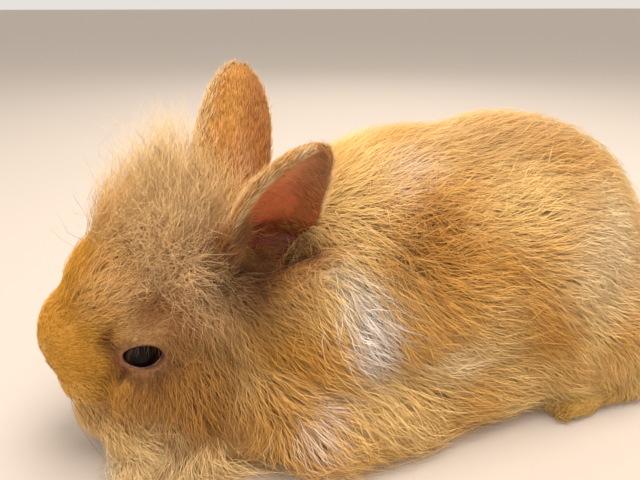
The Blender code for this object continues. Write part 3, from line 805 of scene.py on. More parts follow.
ANCHOR_LIES = np.array([anchor[1] for anchor in ANCHORS], float)
ANCHOR_TRAITS = np.array([anchor[2:] for anchor in ANCHORS], float)
ANCHOR_FOCUS = 5.0
FINENESS = 0.58


def coat_at(points):
    """Lie, length, rises, width and density of the coat at places in the rabbit's frame."""
    away = np.linalg.norm(folded(points)[:, None, :] - ANCHOR_PLACES[None], axis=2) + 1.0
    shares = away**-ANCHOR_FOCUS
    shares /= shares.sum(axis=1, keepdims=True)
    lie = shares @ ANCHOR_LIES
    lie[:, 1] *= np.sign(points[:, 1])
    return lie, shares @ ANCHOR_TRAITS * (1, 1, 1, FINENESS, 1)


# %% [markdown]
# Roots are dealt out over the skin like seed: a triangle is drawn by its area and by how
# dense the coat is there, and then a spot in it. Drawing from the mesh itself reaches
# every side alike. One fixed seed deals them the same way each time, as long as the
# triangles come in the same order, so they are sorted first.

# %% Scatter the roots
SEED = 11


def surface_arrays(item):
    """The triangles of a mesh as arrays: corners, normals, areas and unwrap.

    Edit mode may leave a face starting at any of its corners. So each face is turned to
    start at its point of lowest number, and the triangles are sorted.
    """
    mesh = item.data
    ends = np.empty(len(mesh.loops), int)
    starts = np.empty(len(mesh.polygons), int)
    sizes = np.empty(len(mesh.polygons), int)
    mesh.loops.foreach_get("vertex_index", ends)
    mesh.polygons.foreach_get("loop_start", starts)
    mesh.polygons.foreach_get("loop_total", sizes)
    fans = []
    for size in np.unique(sizes):
        around = np.arange(size)
        first = starts[sizes == size][:, None]
        turn = ends[first + around].argmin(axis=1)[:, None]
        turned = first + (turn + around) % size
        fans += [turned[:, [0, corner, corner + 1]] for corner in range(1, size - 1)]
    loops = np.concatenate(fans)
    loops = loops[np.lexsort(ends[loops].T)]
    flat = np.empty(len(mesh.loops) * 2)
    mesh.uv_layers["unwrap"].uv.foreach_get("vector", flat)
    corners = points_of(mesh)[ends[loops]]
    normals = normals_of(mesh)[ends[loops]].round(5)
    charts = flat.reshape(-1, 2)[loops]
    crosses = np.cross(corners[:, 1] - corners[:, 0], corners[:, 2] - corners[:, 0])
    return corners, normals, charts, np.linalg.norm(crosses, axis=1) / 2


def surface_tree(surface):
    """A search tree of a surface's triangles."""
    corners = surface[0].reshape(-1, 3)
    threes = np.arange(len(corners)).reshape(-1, 3)
    return BVHTree.FromPolygons(corners.tolist(), threes.tolist(), all_triangles=True)


def scatter(surface, weights, count, draw):
    """Random places on a surface, with the normal and the place on the unwrap of each."""
    corners, normals, charts, areas = surface
    chances = areas * weights
    chosen = draw.choice(len(areas), count, p=chances / chances.sum())
    one, two = np.sort(draw.random((2, count)), axis=0)
    shares = np.stack([one, two - one, 1 - two], axis=1)[:, :, None]
    normal = (normals[chosen] * shares).sum(axis=1)
    normal /= np.linalg.norm(normal, axis=1, keepdims=True) + 1e-12
    return (corners[chosen] * shares).sum(axis=1), normal, (charts[chosen] * shares).sum(axis=1)


# %% [markdown]
# A tuft leaves the skin at a steep angle and bends over to lie along it. Its path is
# walked in a few steps: each looks up the nearest skin, turns the lie into that surface
# and goes on a little flatter. So the coat follows the body's curves, where straight
# tufts would stick out past each bend.

# %% Walk the paths of the tufts
def unit(vectors):
    return vectors / (np.linalg.norm(vectors, axis=-1, keepdims=True) + 1e-12)


def swirl(points, wavelength, draw):
    """A smooth field of small vectors, which wanders over a wavelength in mm."""
    total = np.zeros_like(points)
    for _ in range(5):
        waves = unit(draw.normal(size=(3, 3))) * 2 * math.pi / wavelength * draw.uniform(0.7, 1.4)
        total += np.sin(points @ waves.T + draw.uniform(0, 2 * math.pi, 3))
    return total / 3


def nearest_normals(tree, points):
    found = [tree.find_nearest(Vector(point)) for point in points]
    return np.array([hit[0] for hit in found]), np.array([hit[1] for hit in found])


FLOOR_CLEAR = 0.0005
ROOT_DEPTH = 0.3
TIP_CLEAR = 0.3


def walk(tree, roots, normals, lie, length, rise_root, rise_tip, steps):
    """Paths of the tufts in metres, as an array of tufts, stations and coordinates."""
    stations = [roots - normals * ROOT_DEPTH * MM]
    here, normal = roots, normals
    for step in range(steps):
        share = step / max(steps - 1, 1)
        rise = np.radians(rise_root + (rise_tip - rise_root) * share)[:, None]
        along = unit(lie - normal * (lie * normal).sum(axis=1, keepdims=True))
        way = along * np.cos(rise) + normal * np.sin(rise)
        here = here + way * (length / steps)[:, None]
        spot, facing = nearest_normals(tree, here)
        above = ((here - spot) * facing).sum(axis=1, keepdims=True)
        least = TIP_CLEAR * MM * (step + 1) / steps
        here = here + facing * np.maximum(least - above, 0)
        here[:, 2] = np.maximum(here[:, 2], FLOOR_CLEAR * (1 + 0.5 * share))
        normal = facing
        stations.append(here)
    return np.stack(stations, axis=1)


def gather(paths, strength, share_of_guides, draw):
    """Draw the tips of neighbouring tufts together into loose clumps."""
    count = len(paths)
    guides = draw.choice(count, max(1, int(count * share_of_guides)), replace=False)
    tree = KDTree(len(guides))
    for number, guide in enumerate(guides):
        tree.insert(Vector(paths[guide, 0]), number)
    tree.balance()
    nearest = guides[[tree.find(Vector(root))[1] for root in paths[:, 0]]]
    leader = paths[nearest]
    offset = paths[:, :1] - leader[:, :1]
    pull = (strength * draw.uniform(0.5, 1.0, count))[:, None, None]
    shares = np.linspace(0, 1, paths.shape[1])[None, :, None]
    target = leader + offset * (1 - 0.85 * shares)
    return paths + (target - paths) * pull * shares**1.3


# %% [markdown]
# Each tuft is a flat blade with three edges, widest a little above its root, that ends in
# a point. All of a region's tufts become one mesh, written from arrays at one go, as a
# hundred thousand objects would choke Blender. Three attributes go with each tuft for
# its material: where it roots, how far along it a point is, and a number by chance.

# %% Make the tufts one mesh
PATCH = 0.003
THICKNESS_SHARE = 0.35


def tuft_mesh(name, paths, width, normals, charts, chances, paint):
    count, stations, _ = paths.shape
    rings = stations - 1
    way = unit(np.diff(paths, axis=1))
    across = unit(np.cross(way, normals[:, None, :]))
    upwards = np.cross(across, way)
    shares = np.arange(rings) / rings
    profile = (0.75 + 0.9 * shares - 1.35 * shares**2)[None, :, None]
    half = width[:, None, None] / 2 * profile
    thick = half * THICKNESS_SHARE
    middle = paths[:, :-1]
    corners = np.stack([
        middle + across * half - upwards * thick,
        middle + upwards * thick * 2,
        middle - across * half - upwards * thick,
    ], axis=2)
    body = corners.reshape(count, rings * 3, 3)
    verts = np.concatenate([body, paths[:, -1:]], axis=1)
    per_tuft = rings * 3 + 1
    faces = [(0, 1, 2)]
    for ring in range(rings - 1):
        for corner in range(3):
            after = (corner + 1) % 3
            low, low_next = ring * 3 + corner, ring * 3 + after
            faces.append((low, low + 3, low_next))
            faces.append((low_next, low + 3, low_next + 3))
    last = (rings - 1) * 3
    for corner in range(3):
        faces.append((last + corner, rings * 3, last + (corner + 1) % 3))
    faces = np.array(faces)
    every = (faces[None] + (np.arange(count) * per_tuft)[:, None, None]).reshape(-1, 3)
    mesh = bpy.data.meshes.new(name)
    mesh.vertices.add(count * per_tuft)
    mesh.vertices.foreach_set("co", verts.ravel())
    mesh.loops.add(every.size)
    mesh.loops.foreach_set("vertex_index", every.ravel())
    mesh.polygons.add(len(every))
    mesh.polygons.foreach_set("loop_start", np.arange(len(every)) * 3)
    mesh.update(calc_edges=True)
    station_share = np.repeat(np.arange(rings) / rings, 3)
    along = np.append(station_share, 1.0)
    around = np.append(np.tile((0.0, 0.5, 1.0), rings), 0.5)
    spot = np.stack([around - 0.5, along - 0.5], axis=1) * PATCH
    chart = charts[:, None, :] + spot[None]
    layer = mesh.uv_layers.new(name="OFBake")
    layer.uv.foreach_set("vector", chart.reshape(-1, 2)[every.ravel()].ravel())
    for kind, field, values in (
        ("FLOAT_VECTOR", "root", np.repeat(paths[:, 0], per_tuft, axis=0)),
        ("FLOAT", "along", np.tile(along, count)),
        ("FLOAT", "chance", np.repeat(chances, per_tuft)),
    ):
        store = mesh.attributes.new(field, kind, "POINT")
        store.data.foreach_set("vector" if kind == "FLOAT_VECTOR" else "value", values.ravel())
    mesh.shade_smooth()
    item = bpy.data.objects.new(name, mesh)
    paint.coat_on(item)
    bpy.context.scene.collection.objects.link(item)
    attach(item, "root")
    print(name, count, "tufts,", len(every), "triangles")
    return item


# %% [markdown]
# Hair is darker near the skin, where no light comes, and bleached at its tip. The coat's
# material takes the markings' colour at the root of each tuft, shades it along the tuft
# and makes each tuft a little lighter or darker than the next. It is rough, and a little
# sheen lights its edges.

# %% Coat material
def coat_paint(name, colour_at, root_shade, tip_shade):
    paint = Paint(name)
    along = paint.attribute("along", "Fac")
    chance = paint.attribute("chance", "Fac")
    colour = colour_at(paint, paint.attribute("root"))
    level = along.span(0.0, 0.85, root_shade, tip_shade) * chance.span(0.0, 1.0, 0.90, 1.08, smooth=False)
    paint.set(Base_Color=paint.dim(colour, level), Roughness=0.7, Specular_IOR_Level=0.16)
    paint.set(Sheen_Weight=0.12, Sheen_Roughness=0.5, Sheen_Tint=srgb(255, 226, 180))
    return paint


coat = coat_paint("golden coat", coat_colour, 0.80, 1.08)
wool = coat_paint("forelock wool", coat_colour, 0.88, 1.06)

# %% [markdown]
# Now the coat is grown. Some places stay clear of it: the opening of the lids, where a
# stray tuft would cross the eye, and the cup of each ear. A tuft that runs into a cup is
# cut short before it, and one that still strays is dropped, since its neighbours cover
# the gap.

# %% Places that stay clear
def in_eye(points, grow=0.5):
    """True for each place in front of an eye, inside the almond grown by a few tenths."""
    half_length, half_height = OPENING[0] / 2 + grow, OPENING[1] / 2 + grow
    hidden = np.zeros(points.shape[:-1], bool)
    for side in SIDES.values():
        back = np.array(eye_frame(side).inverted())
        spots = (points @ back[:3, :3].T + back[:3, 3]) / MM
        inside = np.abs(spots[..., 2]) < half_height * (1 - (spots[..., 0] / half_length) ** 2)
        hidden |= inside & (spots[..., 1] * side > 0)
    return hidden


# Shares of the ear's length and half width that the cup takes, and how far in and out in mm.
# Near the root it stays closer to the ear, so that the fur of the cheek closes up below it.
CUP_FROM, CUP_TO, CUP_WIDE = 0.07, 0.97, 0.86
CUP_BOTTOM, CUP_FRONT = -9, 8
CUP_ROOT, CUP_ROOT_FRONT = 0.3, 2.5


def in_cup(points):
    """True for each place within the hollow of an ear, or just in front of it."""
    hidden = np.zeros(points.shape[:-1], bool)
    for side_name in SIDES:
        share, turn, outwards = ear_place(side_name, local(points))
        front = np.where(share < CUP_ROOT, CUP_ROOT_FRONT, CUP_FRONT)
        mouth = (share > CUP_FROM) & (share < CUP_TO) & (np.abs(turn) < CUP_WIDE)
        hidden |= mouth & (outwards > CUP_BOTTOM) & (outwards < front)
    return hidden


# %% [markdown]
# The body's coat is one crop of tufts, parted by region into pieces that are small enough
# to handle. Short tufts bend at fewer points than the wool of the crown and the forehead.
# Real hair winds a little round its own path, so each tuft is curled by a sine and a
# cosine, more where the coat is tousled.

# %% Sizes and regions of the coat
TUFTS = 118000
UNDERSIDE_SHARE = 0.2
LID_EDGE = 1.1
SWIRL_WAVELENGTH, SWIRL, STRAY = 26.0, 0.2, 0.30
CURL, TOUSLED_CURL, WAVES = 0.045, 0.12, 1.2
CLUMP = (0.10, 0.30)
GUIDES = 0.18
# The steps of a tuft's path, and which of its stations each kind of tuft keeps
STEPS = 4
FINE = [0, 2, 4]
BENT = [0, 1, 2, 4]
CURLY = [0, 1, 2, 3, 4]
REGIONS = (
    ("coat_face", FINE, lambda p: (p[:, 0] < -86) & (p[:, 2] > 18) & (p[:, 2] < 60)),
    ("coat_forelock", CURLY, lambda p: (p[:, 0] < -62) & (p[:, 2] >= 66) & (np.abs(p[:, 1]) < 19)),
    ("coat_forehead", CURLY, lambda p: (p[:, 0] < -60) & (p[:, 2] >= 52)),
    ("coat_cheeks", BENT, lambda p: (p[:, 0] < -58) & (p[:, 2] > 12)),
    ("coat_beard", BENT, lambda p: p[:, 0] < -58),
    ("coat_ruff", FINE, lambda p: (p[:, 0] < -28)),
    ("coat_shoulders", FINE, lambda p: (p[:, 0] < 4) & (p[:, 2] > 12)),
    ("coat_belly", FINE, lambda p: (p[:, 0] < 90) & (p[:, 2] <= 12)),
    ("coat_back", FINE, lambda p: (p[:, 0] < 60) & (p[:, 2] > 62)),
    ("coat_flanks", FINE, lambda p: (p[:, 0] < 60)),
    ("coat_rump_left", FINE, lambda p: p[:, 1] < 0),
    ("coat_rump_right", FINE, lambda p: np.ones(len(p), bool)),
)
# Where the hair lies otherwise, on both sides: centre, radii in mm, how far it lies every way,
# how much further up it stands in degrees, and how much shorter it is
TOUSLED = (
    ((-10, 33, 75), (15, 14, 12), 1.0, 26.0, 0.2),
    ((-80, 22, 60), (16, 10, 9), 0.95, 16.0, 0.45),
    ((-82, 0, 78), (22, 24, 18), 0.7, 0.0, 0.0),
    ((-43, 13, 62), (13, 10, 8), 0.9, 14.0, 0.3),
)
CLEARANCE = 0.9


def curl_up(paths, amount, waves, draw):
    """Wind each tuft a little round its own path, by an amount in metres."""
    chord = unit(paths[:, -1] - paths[:, 0])
    one = unit(np.cross(chord, draw.normal(size=chord.shape)))
    two = np.cross(chord, one)
    shares = np.linspace(0, 1, paths.shape[1])
    turn = draw.uniform(0, 2 * math.pi, len(paths))[:, None] + 2 * math.pi * waves * shares
    ring = np.cos(turn)[..., None] * one[:, None] + np.sin(turn)[..., None] * two[:, None]
    return paths + (ring - ring[:, :1]) * amount[:, None, None]


# %% [markdown]
# First the roots are drawn, and each asks the anchors how the coat lies there. Chance
# makes one tuft a little longer than the next and lets it stray, as no two hairs are
# alike. Round the eye the tufts are kept short.

# %% Draw the roots and their traits
draw = np.random.default_rng(SEED)
surface = surface_arrays(skin)
skin_tree = surface_tree(surface)
middles = local(surface[0].mean(axis=1))
density = coat_at(middles)[1][:, 4]
underneath = surface[1].mean(axis=1)[:, 2] < -0.6
density = np.where(underneath, density * UNDERSIDE_SHARE, density)
roots, normals, charts = scatter(surface, density, TUFTS, draw)
spots = local(roots)
from_eye = distance_to_eye(spots)
keep = (from_eye > LID_RADIUS - LID_EDGE) & ~in_eye(roots, 0.2)
for line in FOLDS[:2]:
    keep &= distance_to_line(spots, line) > CLEARANCE
roots, normals, charts, spots, from_eye = (part[keep] for part in (roots, normals, charts, spots, from_eye))
lie, traits = coat_at(spots)
length, rise_root, rise_tip, width, _ = traits.T
lie = unit(lie) + swirl(spots, SWIRL_WAVELENGTH, draw) * SWIRL + draw.normal(size=lie.shape) * STRAY
curl = np.full(len(spots), CURL)
stand = np.zeros(len(spots))
for centre, radii, strength, more, shorter in TOUSLED:
    share = np.exp(-(np.linalg.norm((folded(spots) - centre) / radii, axis=1) ** 2))
    lie = lie + draw.normal(size=lie.shape) * (strength * share)[:, None]
    length = length * (1 - shorter * share)
    stand = stand + more * share
    curl = np.maximum(curl, TOUSLED_CURL * share * min(1.0, 1.4 * strength))
near_eye = step_between(from_eye, 7.0, 14.0)
length = length * (0.40 + 0.60 * near_eye) * draw.uniform(0.68, 1.2, len(length)) * MM
rise_root = rise_root * draw.uniform(0.7, 1.25, len(length)) * (0.5 + 0.5 * near_eye) + stand
rise_tip = rise_tip * draw.uniform(0.4, 1.5, len(length)) + 0.6 * stand

# %% [markdown]
# Then the tufts are walked out over the skin. Neighbours draw together at their tips, the
# long ones more than the short ones, which gives the loose clumps of real fur. After that
# the cups, the eyes, the mouth and the nostrils are cleared.

# %% Walk, gather, curl and clear the tufts
paths = walk(skin_tree, roots, normals, lie, length, rise_root, rise_tip, STEPS)
clump = CLUMP[0] + (CLUMP[1] - CLUMP[0]) * step_between(length / MM, 5, 18)
paths = gather(paths, clump, GUIDES, draw)
paths = curl_up(paths, curl * length, WAVES, draw)
paths[:, 1:, 2] = np.maximum(paths[:, 1:, 2], FLOOR_CLEAR)
chances = draw.random(len(paths))
crossing = in_cup(paths)
first = np.where(crossing.any(axis=1), crossing.argmax(axis=1), STEPS + 1)
kept_share = np.clip((first - 0.6) / STEPS, 0.15, 1.0)[:, None, None]
paths = paths[:, :1] + (paths - paths[:, :1]) * kept_share
clear = ~(in_eye(paths[:, 1:]).any(axis=1) | in_cup(paths[:, 1:]).any(axis=1))
for line in FOLDS[:2]:
    over = distance_to_line(local(paths[:, 1:]).reshape(-1, 3), line).reshape(len(paths), -1)
    clear &= over.min(axis=1) > CLEARANCE + 0.3
print("tufts:", len(paths), "walked,", int(clear.sum()), "kept")

# %% [markdown]
# Last, each tuft goes to the first region that holds its root, so the regions are listed
# from the nose back, and the last one takes what is left. The forelock alone has the
# wool's material, which is lighter near its roots.

# %% Part the coat by region
left = clear.copy()
for name, stations, holds in REGIONS:
    mine = left & holds(spots)
    left &= ~mine
    path = paths[mine][:, stations]
    paint = wool if name == "coat_forelock" else coat
    tuft_mesh(name, path, width[mine] * MM, normals[mine], charts[mine], chances[mine], paint)

# %% [markdown]
# Under the coat the skin keeps the coat's own colour, darkened by painted shade from the
# fur above it and mottled at random. Where the fur is short it shows through: on the nose,
# the lips and the lids. Fine bump stands for the shortest hairs. The folds are darker with
# painted shade, which the same distance to a line tells the shader by an attribute.

# %% Skin material
def store_value(item, name, values):
    layer = item.data.attributes.new(name, "FLOAT", "POINT")
    layer.data.foreach_set("value", values.astype(float))


here = local(points_of(skin.data))
# How near each place is to a fold, which the skin's colour darkens with painted shade
folds = np.zeros(len(here))
for line, half_width in zip(FOLDS, (1.2, 1.1, 1.2, 1.1)):
    folds = np.maximum(folds, np.exp(-(distance_to_line(here, line) / half_width) ** 2))
nose = step_between(-np.linalg.norm((here - (-120, 0, 35.5)) / (5, 4.5, 4.5), axis=1), -1.3, -0.7)
store_value(skin, "fold", folds)
store_value(skin, "bare", np.maximum(nose, 1 - step_between(distance_to_eye(here), 7.2, 8.6)))

hide = Paint("skin under the coat")
hide_place = hide.place()
# Painted shade: the skin under the coat is the coat's colour darkened to 0.6 to 0.92, mottled at random
painted_shade_and_mottle = hide.noise(hide_place, 1500.0, 2.0).span(0.3, 0.7, 0.6, 0.92)
hide_colour = hide.dim(coat_colour(hide, hide_place), painted_shade_and_mottle)
hide_colour = hide.mix(hide_colour, srgb(116, 68, 46), hide.attribute("bare", "Fac"))
# Painted shade in the folds: the mouth, the nostrils, the tear grooves and the brow creases
hide_colour = hide.mix(hide_colour, srgb(70, 28, 14), hide.attribute("fold", "Fac") * 0.9)
hide.set(Base_Color=hide_colour, Roughness=0.7)
hide.bump(hide.noise(hide_place, 1800.0, 3.0), 0.5, 0.0004)
hide.coat_on(skin)

rim = Paint("moist lid rim")
rim_place = rim.place()
rim_patches = rim.noise(rim_place, 500.0).span(0.35, 0.65)
rim.set(Base_Color=rim.mix(srgb(118, 72, 52), srgb(70, 36, 26), rim_patches), Roughness=0.5)
rim.bump(rim.noise(rim_place, 2500.0), 0.2, 0.0002)
rim.coat_on(lid_rims)
lid_rims.data.shade_smooth()

# %% [markdown]
# The inside of the ear is nearly bare, and light comes through it. Its colour is the pink
# skin with that glow painted in: red where the skin is thin, sinking to brown in the root,
# and darker towards the rear edge, a painted shadow. One attribute tells the two faces
# apart: how far a place is on the inner side. Faint veins run up it.

# %% Ear skin
def inner_side(side_name, spots, facing):
    """How far each place of the ear's skin faces the middle of its cup, from -1 to 1."""
    root, axis, length_of_ear, across, opens = (np.array(value) for value in ear_axes(side_name))
    share = (spots - root) @ axis / length_of_ear
    centre_line = root + share[:, None] * length_of_ear * axis + 3.0 * opens
    return (facing * unit(centre_line - spots)).sum(axis=1)


def rear_place(side_name, spots):
    """Shares of the ear's length and of its width, positive towards its rear edge."""
    share, turn, _ = ear_place(side_name, spots)
    return share, turn * math.copysign(1.0, ear_axes(side_name)[3].x)


for side_name, ear in ears.items():
    spots = local(points_of(ear.data))
    share, rearwards = rear_place(side_name, spots)
    store_value(ear, "inner", step_between(inner_side(side_name, spots, normals_of(ear.data)), -0.1, 0.35))
    store_value(ear, "up", np.clip(share, 0, 1))
    store_value(ear, "rear", np.clip(rearwards, -1.2, 1.2))

ear_paint = Paint("ear skin")
ear_spot = ear_paint.place()
inner = ear_paint.attribute("inner", "Fac")
up = ear_paint.attribute("up", "Fac")
rear = ear_paint.attribute("rear", "Fac")
# The painted glow of light through the ear: deep red low down, paler higher up
glow = ear_paint.mix(srgb(150, 46, 20), srgb(208, 112, 66), up.span(0.16, 0.42))
glow = ear_paint.mix(glow, srgb(196, 134, 94), up.span(0.45, 0.85))
glow = ear_paint.mix(glow, srgb(198, 146, 104), rear.span(-0.85, -0.4, 0.8, 0.0))
# Painted shadow: the inside darkens towards the ear's rear edge
glow = ear_paint.dim(glow, 1 - rear.span(0.1, 0.9) * 0.5)
drawn_up = ear_paint.vector("MULTIPLY", ear_spot, (1.0, 1.0, 0.35))
veins = ear_paint.noise(drawn_up, 260.0, 3.0).span(0.46, 0.54)
glow = ear_paint.dim(glow, veins.span(0.0, 1.0, 0.86, 1.04, smooth=False))
outer = ear_paint.mix(srgb(190, 122, 48), srgb(204, 140, 66), ear_paint.noise(ear_spot, 160.0))
ear_paint.set(Base_Color=ear_paint.mix(outer, glow, inner), Roughness=0.55)
ear_paint.bump(ear_paint.noise(ear_spot, 1400.0, 3.0), 0.35, 0.0003)
for ear in ears.values():
    ear_paint.coat_on(ear)

# %% [markdown]
# Ear fur is a short velvet on the back, combed up to the tip, and a fringe along the rim.
# Inside, a few fine hairs reach in over the cup, most of them from its rear edge. They
# are grown on the ear's own skin with the same functions.

# %% Ear fur
EAR_TUFTS = 7000
RIM_TUFTS = 4200
# Where the fur is rosier, and where the ear is browner with painted shade as it turns away from the light,
# on both ears: centre and radii in mm, how strongly, colour
EAR_MARKS_AND_PAINTED_SHADE = (
    ((-55, 15, 80), (6, 12, 14), 0.8, srgb(208, 156, 118)),
    # Painted shade on the ear's rear part, which turns away from the light
    ((-46, 17, 94), (8, 14, 22), 0.85, srgb(168, 108, 60)),
)
RIM_MARKS = (
    ((-66, -20, 69), (9, 11, 13), 0.85, srgb(146, 90, 50)),
)


def with_marks(paint, place, colour, marks):
    for centre, radii, strength, shade in marks:
        colour = add_patch(paint, colour, place, centre, radii, (0.4, 1.5), strength, shade)
    return colour


def ear_colour(paint, place):
    """Golden on the back of the ear, with long soft streaks, rosy where the fur is thin, and browner with
    painted shade towards its rear.
    """
    stretched = paint.vector("MULTIPLY", place, (1.0, 1.0, 0.3))
    streaks = paint.noise(stretched, 150.0).span(0.35, 0.65)
    return with_marks(paint, place, paint.mix(srgb(194, 136, 56), srgb(208, 154, 80), streaks), EAR_MARKS_AND_PAINTED_SHADE)


def rim_colour(paint, place):
    """Paler along the rim, and brown where the rim runs down into the cheek."""
    patches = paint.noise(place, 220.0).span(0.35, 0.65)
    return with_marks(paint, place, paint.mix(srgb(214, 170, 112), srgb(232, 200, 152), patches), RIM_MARKS)


def grow_ear_fur(name, side_name, count, weights_at, traits_at, spread, paint):
    """Tufts on an ear's skin, where weights_at deals them and as traits_at shapes them."""
    ear = ears[side_name]
    ear_surface = surface_arrays(ear)
    tree = surface_tree(ear_surface)
    middle = local(ear_surface[0].mean(axis=1))
    _, axis, _, across, _ = (np.array(value) for value in ear_axes(side_name))
    across = across * np.sign(across[0])
    share, rear = rear_place(side_name, middle)
    inside = inner_side(side_name, middle, unit(ear_surface[1].mean(axis=1)))
    roots, normals, charts = scatter(ear_surface, weights_at(share, rear, inside), count, draw)
    spots = local(roots)
    share, rear = rear_place(side_name, spots)
    inside = inner_side(side_name, spots, normals) > 0.15
    across_lie, length, rise, width = traits_at(share, rear, inside)
    lie = axis + across * across_lie[:, None] + draw.normal(size=roots.shape) * spread
    length = length * (1 - 0.4 * step_between(share, 0.75, 1.0)) * draw.uniform(0.6, 1.3, count) * MM
    rise = rise * draw.uniform(0.6, 1.3, count)
    paths = curl_up(walk(tree, roots, normals, lie, length, rise, rise * 0.4, 2), 0.03 * length, 0.6, draw)
    return tuft_mesh(name, paths, width * MM, normals, charts, draw.random(count), paint)


def velvet_weights(share, rear, inside):
    fringe = step_between(rear, 0.45, 0.9)
    furry = step_between(inside, 0.0, 0.3)
    return ((1 - furry) + furry * (0.1 + 0.45 * fringe)) * (share > -0.05)


def velvet_traits(share, rear, inside):
    across_lie = np.where(inside, -1.6 * np.sign(rear), 0.0)
    return across_lie, np.where(inside, 4.6, 5.4), np.where(inside, 22.0, 6.0), np.where(inside, 0.10, 0.2)


def rim_weights(share, rear, inside):
    front = step_between(-rear, np.where(inside > 0.1, 0.42, 0.8), np.where(inside > 0.1, 0.8, 1.0))
    front = np.where(inside > 0.1, front, 0.35 * front)
    back = 0.4 * step_between(rear, 0.9, 1.0) * (inside < 0.6)
    return np.maximum(front, back) * (share > 0.0)


def rim_traits(share, rear, inside):
    low = 1 - step_between(share, 0.1, 0.4)
    return np.where(rear < 0, 0.15, 0.1), 5.0 + 6.0 * low, 20.0 + 14.0 * low, np.full(len(rear), 0.18)


velvet = coat_paint("ear velvet", ear_colour, 0.95, 1.04)
pale_rim = coat_paint("ear rim fur", rim_colour, 0.86, 1.06)
for side_name in SIDES:
    grow_ear_fur(
        f"coat_ear_{side_name}", side_name, EAR_TUFTS, velvet_weights, velvet_traits, 0.12, velvet,
    )
    grow_ear_fur(
        f"coat_ear_rim_{side_name}", side_name, RIM_TUFTS, rim_weights, rim_traits, 0.18, pale_rim,
    )

# %% [markdown]
# Close by it is a very dark brown iris round a wide pupil, under a clear and wet cornea.
# A sphere stands for the ball, turned so that its pole looks out between the lids, and
# the distance from that pole is an attribute. A clear coat gives the wet shine.

# %% Eyes
EYE_RADIUS = 6.6
eyes = {}
for side_name, side in SIDES.items():
    deselect()
    bpy.ops.mesh.primitive_uv_sphere_add(segments=48, ring_count=32, radius=EYE_RADIUS * MM)
    ball = bpy.context.object
    quarter = Matrix.Rotation(math.radians(-90 * side), 4, "X")
    out = points_of(ball.data)[:, 2] / (EYE_RADIUS * MM)
    store_value(ball, "off_axis", np.degrees(np.arccos(np.clip(out, -1, 1))))
    ball.matrix_world = eye_frame(side) @ quarter
    eyes[side_name] = join([ball], f"eyeball_{side_name}")
    eyes[side_name].data.shade_smooth()

eye_paint = Paint("wet dark eye")
off_axis = eye_paint.attribute("off_axis", "Fac")
streaks = eye_paint.noise(eye_paint.place(), 900.0, 2.0).span(0.3, 0.7)
iris = eye_paint.mix(srgb(30, 15, 9), srgb(46, 24, 14), streaks)
pupil = eye_paint.mix(srgb(22, 14, 11), srgb(12, 7, 5), off_axis.span(6.0, 24.0))
eye_colour = eye_paint.mix(pupil, iris, off_axis.span(30.0, 36.0))
eye_colour = eye_paint.mix(eye_colour, srgb(12, 7, 6), off_axis.span(48.0, 60.0))
eye_paint.set(Base_Color=eye_colour, Roughness=0.25, Specular_IOR_Level=0.05)
eye_paint.set(Coat_Weight=0.07, Coat_Roughness=0.03)
for ball in eyes.values():
    eye_paint.coat_on(ball)

# %% [markdown]
# Lashes hang from the upper lid over the eye, and long whiskers stand out from the pads
# beside the nose, in three rows of four. They are the same tapered blades as the coat,
# with more steps so that they bend smoothly.

# %% Lashes and whiskers
def arcs(starts, ways, bends, lengths, steps):
    """Bent paths from places along directions, which droop by their bend."""
    shares = np.linspace(0, 1, steps + 1)[None, :, None]
    return starts[:, None] + lengths[:, None, None] * (ways[:, None] * shares + bends[:, None] * shares**2)


def plain_colour(paint, place):
    return paint.mix(srgb(120, 88, 56), srgb(70, 46, 30), paint.noise(place, 900.0).span(0.4, 0.6))


hair = coat_paint("whisker", plain_colour, 0.8, 1.1)
LASHES = 22
LASH_OUT = 7.5
LASH_WIDTH = 0.07
WHISKERS = 12
WHISKER_WIDTH = 0.11
starts, ways, bends, lengths, widths = [], [], [], [], []
for side in SIDES.values():
    turned = eye_frame(side).to_3x3()
    for number in range(LASHES):
        x = OPENING[0] * 0.42 * (2 * (number + 0.5) / LASHES - 1) + draw.normal() * 0.2
        z = OPENING[1] / 2 * (1 - (x / (OPENING[0] / 2)) ** 2)
        starts.append(on_eye(side, x, z, LASH_OUT))
        ways.append(turned @ Vector((0.25 * draw.normal() - 0.1, side * 0.9, -0.2)))
        bends.append(turned @ Vector((-0.15, -side * 0.25, -0.55)))
        lengths.append(draw.uniform(2.0, 4.2) * MM)
        widths.append(LASH_WIDTH * MM)
    for number in range(WHISKERS):
        row, step = divmod(number, 4)
        starts.append(at(-113.5 + 2.2 * step, side * (14.0 + 0.3 * step), 31.0 - 2.3 * row))
        way = Vector((0.1 + 0.25 * step / 3 + draw.normal() * 0.06, side * 0.9, 0.15 - 0.1 * row))
        ways.append(way.normalized())
        bends.append(Vector((0.35, 0, -0.25)))
        lengths.append(draw.uniform(20, 30) * MM)
        widths.append(WHISKER_WIDTH * MM)
starts, ways, bends = (np.array([tuple(item) for item in part]) for part in (starts, ways, bends))
lengths, widths = np.array(lengths), np.array(widths)
hairs = arcs(starts, ways, bends, lengths, 6)
facing = np.tile((0.0, 0.0, 1.0), (len(hairs), 1))
chart = np.stack([np.linspace(0.05, 0.95, len(hairs)), np.full(len(hairs), 0.5)], axis=1)
tuft_mesh("whiskers", hairs, widths, facing, chart, draw.random(len(hairs)), hair)

# %% [markdown]
# Each toe ends in a curved horn claw, which the fur half hides. For the forepaws one thin
# cone is cut into rings and bent, and a longer one for the hind feet. Each toe then gets
# a copy, with a mesh of its own.

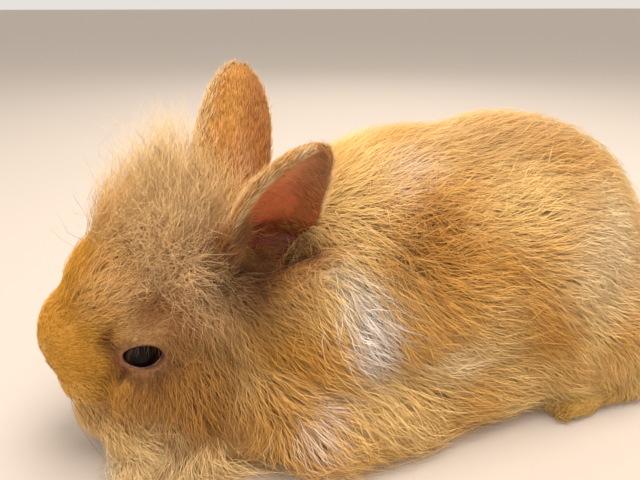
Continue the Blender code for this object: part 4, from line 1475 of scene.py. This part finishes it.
# %% Claws
CLAW_LENGTH = {"forepaw": 4.5, "hind_foot": 5.5}
CLAW_ROOT, CLAW_TIP, CLAW_HOOK = 0.9, 0.18, 0.9
CLAW_PITCH = -97
CLAW_SUNK, CLAW_LOW = 0.6, 1.2
claw_paint = Paint("horn claw")
claw_place = claw_paint.place()
claw_tone = claw_paint.noise(claw_place, 700.0, 2.0).span(0.3, 0.7)
claw_paint.set(Base_Color=claw_paint.mix(srgb(120, 92, 70), srgb(168, 138, 110), claw_tone), Roughness=0.35)


def bent_claw(length):
    """A claw that points up, hooked towards -X."""
    deselect()
    bpy.ops.mesh.primitive_cone_add(
        vertices=12, radius1=CLAW_ROOT * MM, radius2=CLAW_TIP * MM, depth=length * MM,
    )
    claw = bpy.context.object
    bpy.ops.object.mode_set(mode="EDIT")
    bpy.ops.mesh.select_all(action="SELECT")
    bpy.ops.mesh.subdivide(number_cuts=3)
    bpy.ops.object.mode_set(mode="OBJECT")
    for vert in claw.data.vertices:
        share = vert.co.z / (length * MM) + 0.5
        vert.co.x -= CLAW_HOOK * MM * share**2
    return claw


def claw_on_toe(model, centre, yaw, reach):
    """A copy of the claw, pointing forward and down from the end of a toe."""
    claw = model.copy()
    claw.data = model.data.copy()
    bpy.context.scene.collection.objects.link(claw)
    tip = Vector(centre) + Vector((CLAW_SUNK - reach, 0, -CLAW_LOW))
    turn = Matrix.Rotation(math.radians(yaw), 4, "Z") @ Matrix.Rotation(math.radians(CLAW_PITCH), 4, "Y")
    claw.matrix_world = Matrix.Translation(at(*tip)) @ turn
    return claw


models = {foot: bent_claw(length) for foot, length in CLAW_LENGTH.items()}
claws = []
for side_name, side in SIDES.items():
    for foot, (start, spread, radii) in TOES.items():
        made = [
            claw_on_toe(models[foot], centre, yaw, radii[0])
            for centre, yaw in toe_places(start, spread, side)
        ]
        piece = join(made, f"claws_{foot}_{side_name}")
        piece.data.shade_smooth()
        claw_paint.coat_on(piece)
        claws.append(piece)
for model in models.values():
    bpy.data.objects.remove(model, do_unlink=True)

# %% [markdown]
# Last, every piece is hung on the body it rides on, and the solids it stands for are hidden.
# The model is still, so all ride on its one body. The skin stands for all the nodes of
# flesh, and the coat grows from it.

# %% Tie the pieces to the frame
FLESH = ["head", "neck", "torso", "tail"]
for side_name in SIDES:
    FLESH += [f"{part}_{side_name}" for part in ("foreleg", "forepaw", "thigh", "hind_foot")]
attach(skin, "root")
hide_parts(*FLESH)
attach(lid_rims, "root")
for side_name in SIDES:
    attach(ears[side_name], "root")
    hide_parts(f"ear_{side_name}")
    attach(eyes[side_name], "root")
    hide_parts(f"eye_{side_name}")
for piece in claws:
    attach(piece, "root")
